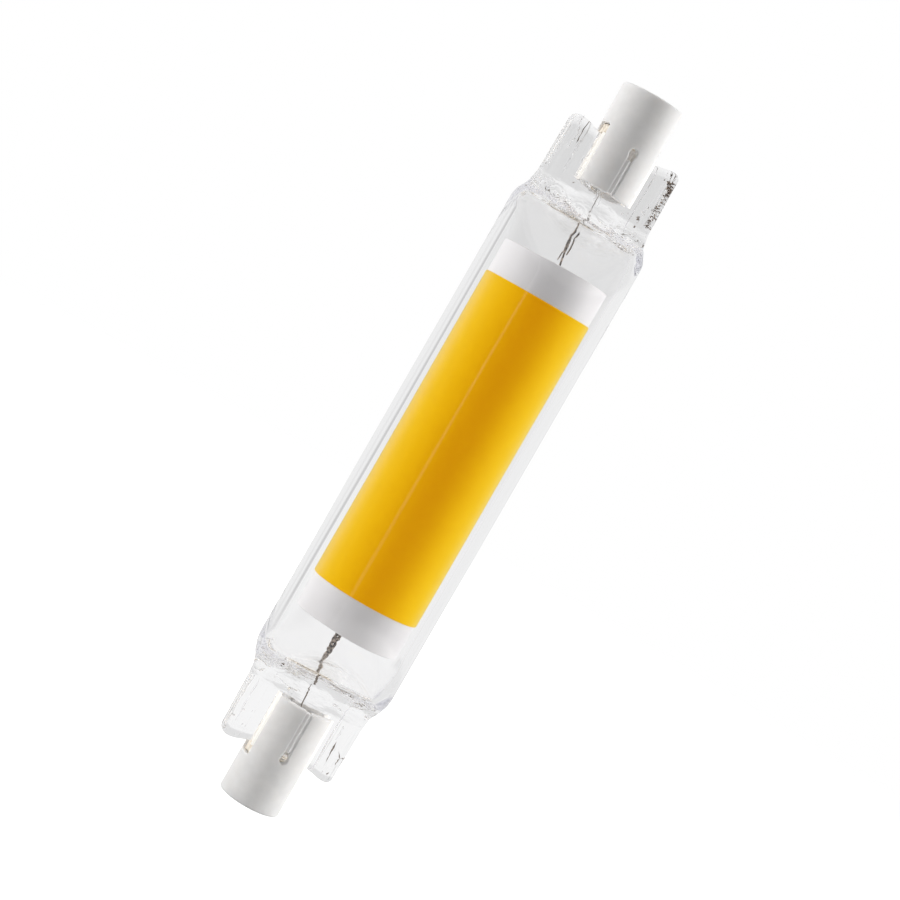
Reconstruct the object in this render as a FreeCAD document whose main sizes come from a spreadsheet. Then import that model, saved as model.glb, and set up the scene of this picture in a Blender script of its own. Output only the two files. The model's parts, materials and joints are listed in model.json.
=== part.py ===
# Double-ended LED lamp, 78 mm long: a clear glass tube pressed flat at both ends, a slotted
# ceramic cap on each press, and a ceramic tube with a phosphor sleeve inside.
# Millimetres. +Z runs along the lamp's axis, and the origin is the centre of the lower cap's end.
# +X is the wide direction of the presses. Heights in the end parts are counted from their own
# end of the lamp, and the upper end is the lower one turned half round the X axis.
import FreeCAD, Part
import math
import os
import Sketcher
from FreeCAD import Placement, Rotation, Vector

SIZES = [
    ("lamp_length", 78.0, "over both caps"),
    ("tube_radius", 7.2, "glass tube, outside"),
    ("tube_wall", 1.07, "glass tube"),
    ("shoulder_start", 14.8, "from the end to where the tube has its full width"),
    ("shoulder_foot", 11.7, "from the end to where the shoulder is as narrow as the press"),
    ("squeeze_start", 17.4, "from the end to where the squeezed sides meet the round tube"),
    ("squeeze_foot", 13.3, "from the end to where the squeezed sides meet the web"),
    ("squeeze_round", 3.5, "between the squeezed sides and the web"),
    ("press_root", 12.3, "from the end to the top of the press's rims"),
    ("press_root_width", 12.5, "press across the ears, at the shoulder"),
    ("press_tip_width", 12.2, "press across the ears, at their tips"),
    ("web_thickness", 2.4, "press between its rims"),
    ("rim_thickness", 3.3, "press at its rims"),
    ("rim_width", 2.1, "each rim, across the press"),
    ("rim_slope", 0.5, "sloping side between web and rim"),
    ("rim_round", 1.1, "outer corners of the rims"),
    ("ear_tip", 4.75, "from the end to the ears' outer corners"),
    ("ear_round", 0.9, "corners of the ears"),
    ("press_end", 5.4, "from the end to the press's edge inside the cap"),
    ("boss_radius", 2.25, "round boss of the press inside the cap"),
    ("cavity_start", 18.0, "from the end to where the inner bore is fully round"),
    ("cavity_end", 14.2, "from the end to the floor of the gas space"),
    ("cavity_floor_depth", 1.0, "floor of the gas space, through the press"),
    ("cavity_corner", 0.8, "rounded corners at the sides of that floor"),
    ("cap_radius", 3.2, "ceramic cap, outside"),
    ("lower_cap_length", 10.9, "ceramic cap at the lower end"),
    ("upper_cap_length", 10.25, "ceramic cap at the upper end"),
    ("cap_bore_radius", 2.35, "main bore of the cap, round the boss"),
    ("cap_bevel", 0.12, "outer edges of the cap"),
    ("recess_radius", 1.9, "recess in the cap's end"),
    ("floor_outer", 2.5, "from the end to the seat under the contact's head"),
    ("floor_inner", 3.3, "from the end to the cap's floor, bore side"),
    ("wide_slot_width", 2.6, "slot that takes the press"),
    ("wide_slot_end", 4.3, "from the end to the wide slot's end"),
    ("narrow_slot_width", 0.58, "slot in the flat sides"),
    ("narrow_slot_eye", 0.41, "radius of the round end of the narrow slot"),
    ("narrow_slot_end", 5.8, "from the end to the centre of that round end"),
    ("contact_depth", 1.55, "from the end to the recess's floor and the contact's face"),
    ("contact_radius", 1.6, "head of the contact"),
    ("contact_bevel", 0.3, "edge of the contact's head"),
    ("shank_radius", 0.75, "shank of the contact, in the cap's floor"),
    ("collar_radius", 1.15, "riveted collar on the shank"),
    ("collar_height", 0.25, "riveted collar on the shank"),
    ("contact_end", 3.95, "from the end to the inner end of the shank"),
    ("lead_socket_depth", 0.9, "blind hole in the shank for the outer lead"),
    ("outer_lead_radius", 0.2, "lead from the press to the contact"),
    ("cement_setback", 0.35, "cement in the wide slot, below the cap's surface"),
    ("seal_wire_radius", 0.12, "thin wire in the press"),
    ("knot_radius", 0.27, "welding knot on the seal wire"),
    ("knot_start", 13.3, "from the end to the knot"),
    ("knot_length", 1.1, "welding knot"),
    ("inner_lead_radius", 0.2, "straight lead on the axis"),
    ("lower_lead_length", 4.4, "straight lead at the lower end, from the knot"),
    ("upper_lead_length", 3.6, "straight lead at the upper end, from the knot"),
    ("lead_to_carrier_gap", 0.5, "from the inner lead's end to the ceramic tube's end"),
    ("board_lead_radius", 0.15, "wire wound round the inner lead"),
    ("winding_clearance", 0.01, "between the wound wire and the inner lead"),
    ("winding_pitch", 0.8, "wire wound round the inner lead"),
    ("winding_turns", 3, "whole turns"),
    ("winding_to_carrier_gap", 0.6, "from the last turn to the ceramic tube's end"),
    ("lead_on_board", 1.2, "length of the wire soldered on the board"),
    ("lead_room", "=knot_start + knot_length + lead_to_carrier_gap", "from an end to the tube, no lead"),
    ("carrier_start", "=lead_room + lower_lead_length", "from the lower end to the ceramic tube"),
    ("carrier_length", "=lamp_length - carrier_start - lead_room - upper_lead_length", "ceramic tube"),
    ("collar_clearance", 0.58, "from the collars of the ceramic tube to the glass"),
    ("waist_depth", 0.2, "waist of the ceramic tube, below its collars"),
    ("carrier_wall", 0.75, "ceramic tube, at its waist"),
    ("collar_outer_radius", "=tube_radius - tube_wall - collar_clearance", "collars of the ceramic tube"),
    ("waist_radius", "=collar_outer_radius - waist_depth", "under the phosphor"),
    ("carrier_bore_radius", "=waist_radius - carrier_wall", "ceramic tube, inside"),
    ("lower_collar_length", 3.6, "white collar at the lower end"),
    ("upper_collar_length", 3.5, "white collar at the upper end"),
    ("phosphor_thickness", 0.3, "phosphor sleeve"),
    ("phosphor_bevel", 0.1, "edges of the sleeve"),
    ("disc_recess", 0.4, "from the ceramic tube's end to the disc"),
    ("disc_thickness", 1.5, "insulating disc"),
    ("disc_hole_clearance", 0.05, "round the wire in the disc"),
    ("chip_columns", 8, "columns of chips round the tube"),
    ("chip_rows", 12, "chips in a column"),
    ("chip_width", 0.6, "across"),
    ("chip_length", 1.1, "along the tube"),
    ("chip_height", 0.13, "above the waist"),
    ("chip_end_margin", 1.6, "from the sleeve's end to the first chip"),
    ("board_length", "=carrier_length - 2 * (disc_recess + disc_thickness)", "driver board"),
    ("board_side_clearance", 0.2, "from the board's edge to the widest part of the bore"),
    ("board_width", "=2 * (carrier_bore_radius - board_side_clearance)", "driver board"),
    ("board_thickness", 0.8, "driver board"),
    ("solder_hole_clearance", 0.08, "round a wire end in the board"),
    ("fuse_radius", 1.0, "fuse resistor's body"),
    ("fuse_length", 5.0, "fuse resistor's body"),
    ("fuse_wire_radius", 0.25, "fuse resistor's wires"),
    ("fuse_wire_reach", 0.9, "from the body to the bent wire"),
    ("fuse_wire_below", 0.4, "wire end below the board"),
    ("bridge_width", 3.9, "bridge rectifier's body"),
    ("bridge_length", 4.7, "bridge rectifier's body"),
    ("bridge_height", 1.6, "bridge rectifier's body"),
    ("capacitor_width", 2.5, "chip capacitor"),
    ("capacitor_length", 3.2, "chip capacitor"),
    ("capacitor_height", 1.7, "chip capacitor"),
    ("regulator_width", 3.9, "current regulator's body"),
    ("regulator_length", 4.9, "current regulator's body"),
    ("regulator_height", 1.4, "current regulator's body"),
    ("leg_width", 0.4, "legs of the rectifier and regulators"),
    ("leg_thickness", 0.2, "legs of the rectifier and regulators"),
    ("leg_reach", 1.0, "legs outside the body"),
    ("sense_width", 1.25, "sense resistor"),
    ("sense_length", 2.0, "sense resistor"),
    ("sense_height", 0.5, "sense resistor"),
    ("sense_edge", 0.575, "from the board's edge to the sense resistor"),
    ("sense_offset", "=board_width / 2 - sense_edge - sense_width / 2", "from the board's middle line"),
    ("fuse_span", "=fuse_length + 2 * (fuse_wire_reach + fuse_wire_radius)", "fuse resistor and its wires"),
    ("first_three", "=fuse_span + bridge_length + capacitor_length", "without the gaps"),
    ("free_length", "=board_length - 2 * lead_on_board - first_three - 2 * regulator_length", "on the board"),
    ("part_gap", "=free_length / 6", "before, between and after the five parts in a row on the board"),
    ("fuse_middle", "=lead_on_board + part_gap + fuse_span / 2", "from the board's lower end"),
    ("bridge_middle", "=fuse_middle + fuse_span / 2 + part_gap + bridge_length / 2", "as above"),
    ("capacitor_middle", "=bridge_middle + bridge_length / 2 + part_gap + capacitor_length / 2", "as above"),
    ("regulator_middle", "=capacitor_middle + capacitor_length / 2 + part_gap + regulator_length / 2",
     "as above, the first regulator"),
    ("regulator_spacing", "=regulator_length + part_gap", "between the two regulators"),
]

RUNS_PER_TURN = 8
BRIDGE_LEGS_PER_SIDE = 2
REGULATOR_LEGS_PER_SIDE = 4
REGULATORS = 2
SHOULDER_STEPS = 6
LOWER = "lower"
UPPER = "upper"

doc = FreeCAD.newDocument("lamp")
nodes = {}


# The sheet of driving sizes
def fill_sheet():
    sheet = doc.addObject("Spreadsheet::Sheet", "Sizes")
    for row, (alias, value, note) in enumerate(SIZES, start=1):
        sheet.set("A%d" % row, alias.replace("_", " "))
        sheet.set("B%d" % row, str(value))
        sheet.set("C%d" % row, note)
        sheet.setAlias("B%d" % row, alias)
    doc.recompute()
    return sheet


sizes = fill_sheet()


def size(alias):
    """Number in the sheet."""
    return float(sizes.get(alias))


def keep(name, item):
    """Make item the sub-part that is written as the node called name."""
    item.Label = name
    nodes[name] = item


def seat(item, end):
    """Put a piece that is modelled from its own end of the lamp at that end."""
    if end == UPPER:
        item.Placement = Placement(Vector(0, 0, size("lamp_length")), Rotation(Vector(1, 0, 0), 180))
        item.setExpression("Placement.Base.z", "Sizes.lamp_length")


def seat_cylinder(item, base, end):
    """Put a cylinder that stands on base at its end, where its own placement holds base too."""
    if end == UPPER:
        item.Placement = Placement(Vector(0, 0, 0), Rotation(Vector(1, 0, 0), 180))
        item.setExpression("Placement.Base.z", "Sizes.lamp_length - (%s)" % base)


# Helpers for sketches and for Part Design features
def new_body(name):
    return doc.addObject("PartDesign::Body", name)


def new_sketch(body, name, plane, offset=None):
    """Sketch on one of the body's own origin planes, moved along its normal by an expression."""
    sketch = body.newObject("Sketcher::SketchObject", name)
    support = [feature for feature in body.Origin.OriginFeatures if feature.Role == plane][0]
    sketch.AttachmentSupport = (support, [""])
    sketch.MapMode = "FlatFace"
    if offset:
        sketch.setExpression("AttachmentOffset.Base.z", offset)
    doc.recompute()
    return sketch


def fix_point(sketch, edge, vertex, across, up):
    """Tie a point of the sketch to its two coordinates, given as expressions."""
    for kind, other_axis, expression in (("DistanceX", -2, across), ("DistanceY", -1, up)):
        if expression == "0":
            sketch.addConstraint(Sketcher.Constraint("PointOnObject", edge, vertex, other_axis))
            continue
        value = float(sketch.evalExpression(expression))
        index = sketch.addConstraint(Sketcher.Constraint(kind, -1, 1, edge, vertex, value))
        sketch.setExpression("Constraints[%d]" % index, expression)


def draw_outline(sketch, corners):
    """Closed outline of straight lines through corners, each an (across, up) pair of expressions."""
    first = sketch.GeometryCount
    points = []
    for across, up in corners:
        points.append(Vector(float(sketch.evalExpression(across)), float(sketch.evalExpression(up)), 0))
    count = len(points)
    for index in range(count):
        sketch.addGeometry(Part.LineSegment(points[index], points[(index + 1) % count]), False)
    for index in range(count):
        following = first + (index + 1) % count
        sketch.addConstraint(Sketcher.Constraint("Coincident", first + index, 2, following, 1))
    for index, (across, up) in enumerate(corners):
        fix_point(sketch, first + index, 1, across, up)


def draw_circle(sketch, across, up, radius):
    """Circle with its centre and radius given as expressions."""
    centre = Vector(float(sketch.evalExpression(across)), float(sketch.evalExpression(up)), 0)
    value = float(sketch.evalExpression(radius))
    edge = sketch.addGeometry(Part.Circle(centre, Vector(0, 0, 1), value), False)
    fix_point(sketch, edge, 3, across, up)
    index = sketch.addConstraint(Sketcher.Constraint("Radius", edge, value))
    sketch.setExpression("Constraints[%d]" % index, radius)


def turn(name, corners):
    """Body of revolution about Z from a half outline in the XZ plane."""
    body = new_body(name)
    sketch = new_sketch(body, name + "_outline", "XZ_Plane")
    draw_outline(sketch, corners)
    turned = body.newObject("PartDesign::Revolution", name + "_turned")
    turned.Profile = sketch
    turned.ReferenceAxis = (sketch, ["V_Axis"])
    turned.Angle = 360
    body.Tip = turned
    doc.recompute()
    return body


def wanted_edges(body, wanted):
    """The body's tip, with the names of its edges that wanted(edge) accepts."""
    tip = body.Tip
    names = ["Edge%d" % (n + 1) for n, edge in enumerate(tip.Shape.Edges) if wanted(edge)]
    if not names:
        raise RuntimeError("no edge found on " + body.Name)
    return tip, names


def round_edges(body, name, radius, wanted):
    edges = wanted_edges(body, wanted)
    fillet = body.newObject("PartDesign::Fillet", name)
    fillet.Base = edges
    fillet.setExpression("Radius", radius)
    body.Tip = fillet
    doc.recompute()


def bevel_edges(body, name, width, wanted):
    edges = wanted_edges(body, wanted)
    chamfer = body.newObject("PartDesign::Chamfer", name)
    chamfer.Base = edges
    chamfer.setExpression("Size", width)
    body.Tip = chamfer
    doc.recompute()


def is_circle_at(edge, radius, height):
    """True for a full circle about Z of that radius at that height."""
    if edge.Curve.TypeId != "Part::GeomCircle":
        return False
    same_radius = abs(edge.Curve.Radius - radius) < 1e-4
    return same_radius and abs(edge.Curve.Center.z - height) < 1e-4


def runs_along(edge, direction):
    """True for a straight edge parallel to direction."""
    if edge.Curve.TypeId != "Part::GeomLine":
        return False
    return abs(abs(edge.Curve.Direction.dot(direction)) - 1) < 1e-6


def add_pad(body, name, sketch, length, both_ways=False):
    pad = body.newObject("PartDesign::Pad", name)
    pad.Profile = sketch
    pad.setExpression("Length", length)
    if both_ways:
        pad.SideType = "Symmetric"
    body.Tip = pad
    doc.recompute()
    return pad


def cut_through(body, name, sketch):
    """Pocket right through the body, both ways from the sketch's plane."""
    before = body.Tip.Shape.Volume
    pocket = body.newObject("PartDesign::Pocket", name)
    pocket.Profile = sketch
    pocket.SideType = "Symmetric"
    pocket.Type = "ThroughAll"
    body.Tip = pocket
    doc.recompute()
    if pocket.Shape.Volume > before - 1e-3:
        raise RuntimeError(name + " cuts nothing")
    return pocket


# Helpers for Part objects
def cylinder(name, radius, height, base, across="0"):
    item = doc.addObject("Part::Cylinder", name)
    item.setExpression("Radius", radius)
    item.setExpression("Height", height)
    item.setExpression("Placement.Base.x", across)
    item.setExpression("Placement.Base.z", base)
    return item


def box(name, width, depth, height, across, front, base):
    """Box centred on across in X, from front in Y and from base in Z, all expressions."""
    item = doc.addObject("Part::Box", name)
    item.setExpression("Length", width)
    item.setExpression("Width", depth)
    item.setExpression("Height", height)
    item.setExpression("Placement.Base.x", "(%s) - (%s) / 2" % (across, width))
    item.setExpression("Placement.Base.y", front)
    item.setExpression("Placement.Base.z", base)
    return item


def fuse(name, items):
    item = doc.addObject("Part::MultiFuse", name)
    item.Shapes = items
    item.Refine = True
    return item


def cut(name, base, tool):
    item = doc.addObject("Part::Cut", name)
    item.Base = base
    item.Tool = tool
    doc.recompute()
    if item.Shape.Volume > base.Shape.Volume - 1e-6:
        raise RuntimeError(name + " cuts nothing")
    return item


def common(name, first, second):
    item = doc.addObject("Part::Common", name)
    item.Base = first
    item.Tool = second
    return item


# Glass: one half, from its end to the middle of the lamp, then mirrored
def blown_tube():
    """Round tube with a shoulder that draws in to the width of the press, a cosine curve."""
    tube = "Sizes.tube_radius"
    width = "Sizes.press_root_width / 2"
    drop = "(Sizes.shoulder_start - Sizes.shoulder_foot)"
    corners = [("0", "Sizes.lamp_length / 2"), (tube, "Sizes.lamp_length / 2")]
    for step in range(SHOULDER_STEPS):
        share = step / (SHOULDER_STEPS - 1)
        narrowing = 1 - math.cos(math.pi / 2 * share)
        radius = "%s - (%s - %s) * %.4f" % (tube, tube, width, narrowing)
        corners.append((radius, "Sizes.shoulder_start - %s * %.4f" % (drop, share)))
    return turn("blown_tube", corners + [("0", "Sizes.shoulder_foot")])


def squeezed_sides(name, foot_depth, foot, start_depth, start):
    """Prism across the lamp whose two sides open from foot_depth to start_depth and beyond."""
    body = new_body(name)
    sketch = new_sketch(body, name + "_side_view", "YZ_Plane")
    beyond = "Sizes.tube_radius + 1"
    opening = "((%s) - (%s)) / ((%s) - (%s))" % (start, foot, start_depth, foot_depth)
    side = [
        (foot_depth, "Sizes.press_end"),
        (foot_depth, foot),
        (beyond, "%s + (%s - (%s)) * %s" % (foot, beyond, foot_depth, opening)),
        (beyond, "Sizes.lamp_length / 2 + 1"),
    ]
    draw_outline(sketch, side + [("-(%s)" % across, up) for across, up in reversed(side)])
    add_pad(body, name + "_across", sketch, "2 * Sizes.tube_radius + 2", both_ways=True)
    return body


def glass_outer_sides():
    """Outside of the squeezed tube, seen from the side, with a hollow curve down to the web."""
    web = "Sizes.web_thickness / 2"
    tube = "Sizes.tube_radius"
    body = squeezed_sides("outer_sides", web, "Sizes.squeeze_foot", tube, "Sizes.squeeze_start")
    foot = size("squeeze_foot")

    def foot_edge(straight):
        return runs_along(straight, Vector(1, 0, 0)) and abs(straight.CenterOfMass.z - foot) < 1e-4

    round_edges(body, "squeeze_rounding", "Sizes.squeeze_round", foot_edge)
    return body


def glass_gas_space():
    """Bore of the tube, squeezed from both sides to a trough that runs right across."""
    radius = "Sizes.tube_radius - Sizes.tube_wall"
    top = "Sizes.lamp_length / 2 + 1"
    corners = [("0", "Sizes.cavity_end"), (radius, "Sizes.cavity_end"), (radius, top), ("0", top)]
    bore = turn("bore", corners)
    bore_radius = size("tube_radius") - size("tube_wall")
    floor = size("cavity_end")

    def floor_edge(edge):
        return is_circle_at(edge, bore_radius, floor)

    round_edges(bore, "cavity_rounding", "Sizes.cavity_corner", floor_edge)
    half_floor = "Sizes.cavity_floor_depth / 2"
    sides = squeezed_sides("inner_sides", half_floor, "Sizes.cavity_end", radius, "Sizes.cavity_start")
    return common("gas_space", bore, sides)


def press_profile():
    """The press in section: a web with a thicker rounded rim at each side."""
    body = new_body("press_profile")
    sketch = new_sketch(body, "press_section", "XY_Plane", "Sizes.ear_tip - 1")
    edge = "Sizes.press_root_width / 2"
    rim = "Sizes.press_root_width / 2 - Sizes.rim_width"
    web = "Sizes.press_root_width / 2 - Sizes.rim_width - Sizes.rim_slope"
    thick = "Sizes.rim_thickness / 2"
    thin = "Sizes.web_thickness / 2"
    quarter = [(edge, thick), (rim, thick), (web, thin)]
    corners = list(quarter)
    corners += [("-(%s)" % across, up) for across, up in reversed(quarter)]
    corners += [("-(%s)" % across, "-(%s)" % up) for across, up in quarter]
    corners += [(across, "-(%s)" % up) for across, up in reversed(quarter)]
    draw_outline(sketch, corners)
    add_pad(body, "press_length", sketch, "Sizes.press_root - Sizes.ear_tip + 1")
    limit = size("press_root_width") / 2 - 1e-4

    def outer_corner(straight):
        return runs_along(straight, Vector(0, 0, 1)) and abs(straight.CenterOfMass.x) > limit

    round_edges(body, "rim_rounding", "Sizes.rim_round", outer_corner)
    return body


def press_outline():
    """The press from the front: ears that lean in a little, with sloping, rounded ends."""
    body = new_body("press_outline")
    sketch = new_sketch(body, "press_front", "XZ_Plane")
    root = ("Sizes.press_root_width / 2", "Sizes.press_root")
    tip = ("Sizes.press_tip_width / 2", "Sizes.ear_tip")
    inner = ("Sizes.cap_radius", "Sizes.press_end")
    corners = [root, tip, inner]
    corners += [("-(%s)" % across, up) for across, up in reversed([root, tip, inner])]
    draw_outline(sketch, corners)
    add_pad(body, "press_depth", sketch, "Sizes.rim_thickness + 2", both_ways=True)
    height = size("ear_tip")

    def ear_corner(straight):
        return runs_along(straight, Vector(0, 1, 0)) and abs(straight.CenterOfMass.z - height) < 1e-4

    round_edges(body, "ear_rounding", "Sizes.ear_round", ear_corner)
    return body


def glass_wire_way():
    """Room in the press for the seal wire and for the part of its knot that the glass holds."""
    knot_end = "Sizes.knot_start + Sizes.knot_length"
    return turn("wire_way", [
        ("0", "Sizes.press_end - 1"),
        ("Sizes.seal_wire_radius", "Sizes.press_end - 1"),
        ("Sizes.seal_wire_radius", "Sizes.knot_start"),
        ("Sizes.knot_radius", "Sizes.knot_start + Sizes.knot_length / 4"),
        ("Sizes.knot_radius", "Sizes.knot_start + Sizes.knot_length * 3 / 4"),
        ("Sizes.inner_lead_radius", knot_end),
        ("Sizes.inner_lead_radius", "Sizes.cavity_start"),
        ("0", "Sizes.cavity_start"),
    ])


def make_glass():
    squeezed = common("squeezed_tube", blown_tube(), glass_outer_sides())
    press = common("press", press_profile(), press_outline())
    opening = "(Sizes.squeeze_start - Sizes.squeeze_foot) / (Sizes.tube_radius - Sizes.web_thickness / 2)"
    boss_top = "Sizes.squeeze_foot + (Sizes.boss_radius - Sizes.web_thickness / 2) * " + opening
    boss = cylinder("boss", "Sizes.boss_radius", boss_top + " - Sizes.press_end", "Sizes.press_end")
    outside = fuse("glass_outside", [squeezed, press, boss])
    inside = fuse("glass_inside", [glass_gas_space(), glass_wire_way()])
    half = cut("glass_half", outside, inside)
    mirrored = doc.addObject("Part::Mirroring", "glass_other_half")
    mirrored.Source = half
    mirrored.Normal = Vector(0, 0, 1)
    mirrored.setExpression("Base.z", "Sizes.lamp_length / 2")
    keep("glass_envelope", fuse("glass_envelope", [half, mirrored]))


# Caps and what is in them
def make_cap(end):
    name = "ceramic_cap_" + end
    inner_end = "Sizes.%s_cap_length" % end
    body = turn(name, [
        ("Sizes.recess_radius", "0"),
        ("Sizes.cap_radius", "0"),
        ("Sizes.cap_radius", inner_end),
        ("Sizes.cap_bore_radius", inner_end),
        ("Sizes.cap_bore_radius", "Sizes.floor_inner"),
        ("Sizes.shank_radius", "Sizes.floor_inner"),
        ("Sizes.shank_radius", "Sizes.floor_outer"),
        ("Sizes.contact_radius", "Sizes.floor_outer"),
        ("Sizes.contact_radius", "Sizes.contact_depth"),
        ("Sizes.recess_radius", "Sizes.contact_depth"),
    ])
    radius = size("cap_radius")
    length = size("%s_cap_length" % end)

    def outer_rim(edge):
        return is_circle_at(edge, radius, 0) or is_circle_at(edge, radius, length)

    bevel_edges(body, name + "_rims", "Sizes.cap_bevel", outer_rim)
    wide = new_sketch(body, name + "_wide_slot_shape", "YZ_Plane")
    side = "Sizes.wide_slot_width / 2"
    beyond = inner_end + " + 1"
    draw_outline(wide, [
        ("-(%s)" % side, "Sizes.wide_slot_end"),
        (side, "Sizes.wide_slot_end"),
        (side, beyond),
        ("-(%s)" % side, beyond),
    ])
    cut_through(body, name + "_wide_slot", wide)
    narrow = new_sketch(body, name + "_narrow_slot_shape", "XZ_Plane")
    side = "Sizes.narrow_slot_width / 2"
    draw_outline(narrow, [
        ("-(%s)" % side, "Sizes.narrow_slot_end"),
        (side, "Sizes.narrow_slot_end"),
        (side, beyond),
        ("-(%s)" % side, beyond),
    ])
    cut_through(body, name + "_narrow_slot", narrow)
    eye = new_sketch(body, name + "_slot_eye_shape", "XZ_Plane")
    draw_circle(eye, "0", "Sizes.narrow_slot_end", "Sizes.narrow_slot_eye")
    cut_through(body, name + "_slot_eye", eye)
    seat(body, end)
    keep(name, body)


def make_contact(end):
    name = "contact_stud_" + end
    socket = "Sizes.contact_end - Sizes.lead_socket_depth"
    collar_top = "Sizes.floor_inner + Sizes.collar_height"
    body = turn(name, [
        ("0", "Sizes.contact_depth"),
        ("Sizes.contact_radius", "Sizes.contact_depth"),
        ("Sizes.contact_radius", "Sizes.floor_outer"),
        ("Sizes.shank_radius", "Sizes.floor_outer"),
        ("Sizes.shank_radius", "Sizes.floor_inner"),
        ("Sizes.collar_radius", "Sizes.floor_inner"),
        ("Sizes.collar_radius", collar_top),
        ("Sizes.shank_radius", collar_top),
        ("Sizes.shank_radius", "Sizes.contact_end"),
        ("Sizes.outer_lead_radius", "Sizes.contact_end"),
        ("Sizes.outer_lead_radius", socket),
        ("0", socket),
    ])
    radius = size("contact_radius")
    face = size("contact_depth")
    bevel_edges(body, name + "_edge", "Sizes.contact_bevel", lambda edge: is_circle_at(edge, radius, face))
    seat(body, end)
    keep(name, body)


def make_outer_lead(end):
    name = "outer_lead_" + end
    start = "Sizes.contact_end - Sizes.lead_socket_depth"
    item = cylinder(name, "Sizes.outer_lead_radius", "Sizes.press_end - (%s)" % start, start)
    seat_cylinder(item, start, end)
    keep(name, item)


def make_cement(end):
    name = "cap_cement_" + end
    height = "Sizes.press_end - Sizes.contact_end"
    plug = cylinder(name + "_plug", "Sizes.cap_bore_radius", height, "Sizes.contact_end")
    reach = "Sizes.cap_radius - Sizes.cement_setback"
    slot_height = "Sizes.press_end - Sizes.wide_slot_end"
    ring = cylinder(name + "_reach", reach, slot_height, "Sizes.wide_slot_end")
    depth = "Sizes.wide_slot_width"
    front = "-Sizes.wide_slot_width / 2"
    base = "Sizes.wide_slot_end"
    slab = box(name + "_slab", "2 * Sizes.cap_radius", depth, slot_height, "0", front, base)
    whole = fuse(name + "_whole", [plug, common(name + "_in_slot", ring, slab)])
    lead = cylinder(name + "_lead_way", "Sizes.outer_lead_radius", height, "Sizes.contact_end")
    item = cut(name, whole, lead)
    seat(item, end)
    keep(name, item)


# Wires between the press and the ceramic tube
def carrier_from(end):
    """Expression: from this end of the lamp to the ceramic tube."""
    if end == LOWER:
        return "Sizes.carrier_start"
    return "(Sizes.lamp_length - Sizes.carrier_start - Sizes.carrier_length)"


def make_seal_wire(end):
    name = "seal_wire_" + end
    knot_end = "Sizes.knot_start + Sizes.knot_length"
    body = turn(name, [
        ("0", "Sizes.press_end"),
        ("Sizes.seal_wire_radius", "Sizes.press_end"),
        ("Sizes.seal_wire_radius", "Sizes.knot_start"),
        ("Sizes.knot_radius", "Sizes.knot_start + Sizes.knot_length / 4"),
        ("Sizes.knot_radius", "Sizes.knot_start + Sizes.knot_length * 3 / 4"),
        ("Sizes.inner_lead_radius", knot_end),
        ("0", knot_end),
    ])
    seat(body, end)
    keep(name, body)


def make_inner_lead(end):
    name = "inner_lead_" + end
    start = "Sizes.knot_start + Sizes.knot_length"
    item = cylinder(name, "Sizes.inner_lead_radius", "Sizes.%s_lead_length" % end, start)
    seat_cylinder(item, start, end)
    keep(name, item)


def tail_offset():
    """Expression: from the axis to the wound wire's corners and its straight tail."""
    middle = "(Sizes.inner_lead_radius + Sizes.board_lead_radius + Sizes.winding_clearance)"
    return "%s / cos(180 deg / %d)" % (middle, RUNS_PER_TURN)


def winding_points(end):
    """Corners of the wound wire: straight runs whose middles lie on the winding radius, then the tail."""
    radius = float(sizes.evalExpression(tail_offset()))
    carrier = float(sizes.evalExpression(carrier_from(end)))
    top = carrier - size("winding_to_carrier_gap")
    runs = int(size("winding_turns")) * RUNS_PER_TURN
    rise = size("winding_pitch") / RUNS_PER_TURN
    points = []
    for number in range(runs + 1):
        turned = 2 * math.pi * number / RUNS_PER_TURN
        height = top - (runs - number) * rise
        points.append(Vector(radius * math.cos(turned), radius * math.sin(turned), height))
    tail_end = carrier + size("disc_recess") + size("disc_thickness") + size("lead_on_board")
    points.append(Vector(radius, 0, tail_end))
    return points


def make_board_lead(end):
    """Whole turns round the inner lead, then straight through the disc and on to the board."""
    name = "board_lead_" + end
    points = winding_points(end)
    route = doc.addObject("Part::Polygon", name + "_route")
    route.Nodes = points
    section = doc.addObject("Part::Circle", name + "_section")
    along = points[1] - points[0]
    section.Placement = Placement(points[0], Rotation(Vector(0, 0, 1), along))
    section.setExpression("Radius", "Sizes.board_lead_radius")
    doc.recompute()
    item = doc.addObject("Part::Sweep", name)
    item.Sections = [section]
    item.Spine = (route, ["Edge%d" % (n + 1) for n in range(len(points) - 1)])
    item.Solid = True
    item.Frenet = False
    item.Transition = "Right corner"
    seat(item, end)
    keep(name, item)


def make_disc(end):
    name = "end_disc_" + end
    base = "%s + Sizes.disc_recess" % carrier_from(end)
    disc = cylinder(name + "_round", "Sizes.carrier_bore_radius", "Sizes.disc_thickness", base)
    hole_radius = "Sizes.board_lead_radius + Sizes.disc_hole_clearance"
    hole = cylinder(name + "_hole", hole_radius, "Sizes.disc_thickness", base, tail_offset())
    item = cut(name, disc, hole)
    seat(item, end)
    keep(name, item)


# Ceramic tube, chips and phosphor
def make_carrier():
    start = "Sizes.carrier_start"
    stop = "Sizes.carrier_start + Sizes.carrier_length"
    waist_start = "Sizes.carrier_start + Sizes.lower_collar_length"
    waist_stop = stop + " - Sizes.upper_collar_length"
    body = turn("carrier_tube", [
        ("Sizes.carrier_bore_radius", start),
        ("Sizes.collar_outer_radius", start),
        ("Sizes.collar_outer_radius", waist_start),
        ("Sizes.waist_radius", waist_start),
        ("Sizes.waist_radius", waist_stop),
        ("Sizes.collar_outer_radius", waist_stop),
        ("Sizes.collar_outer_radius", stop),
        ("Sizes.carrier_bore_radius", stop),
    ])
    keep("carrier_tube", body)


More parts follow.
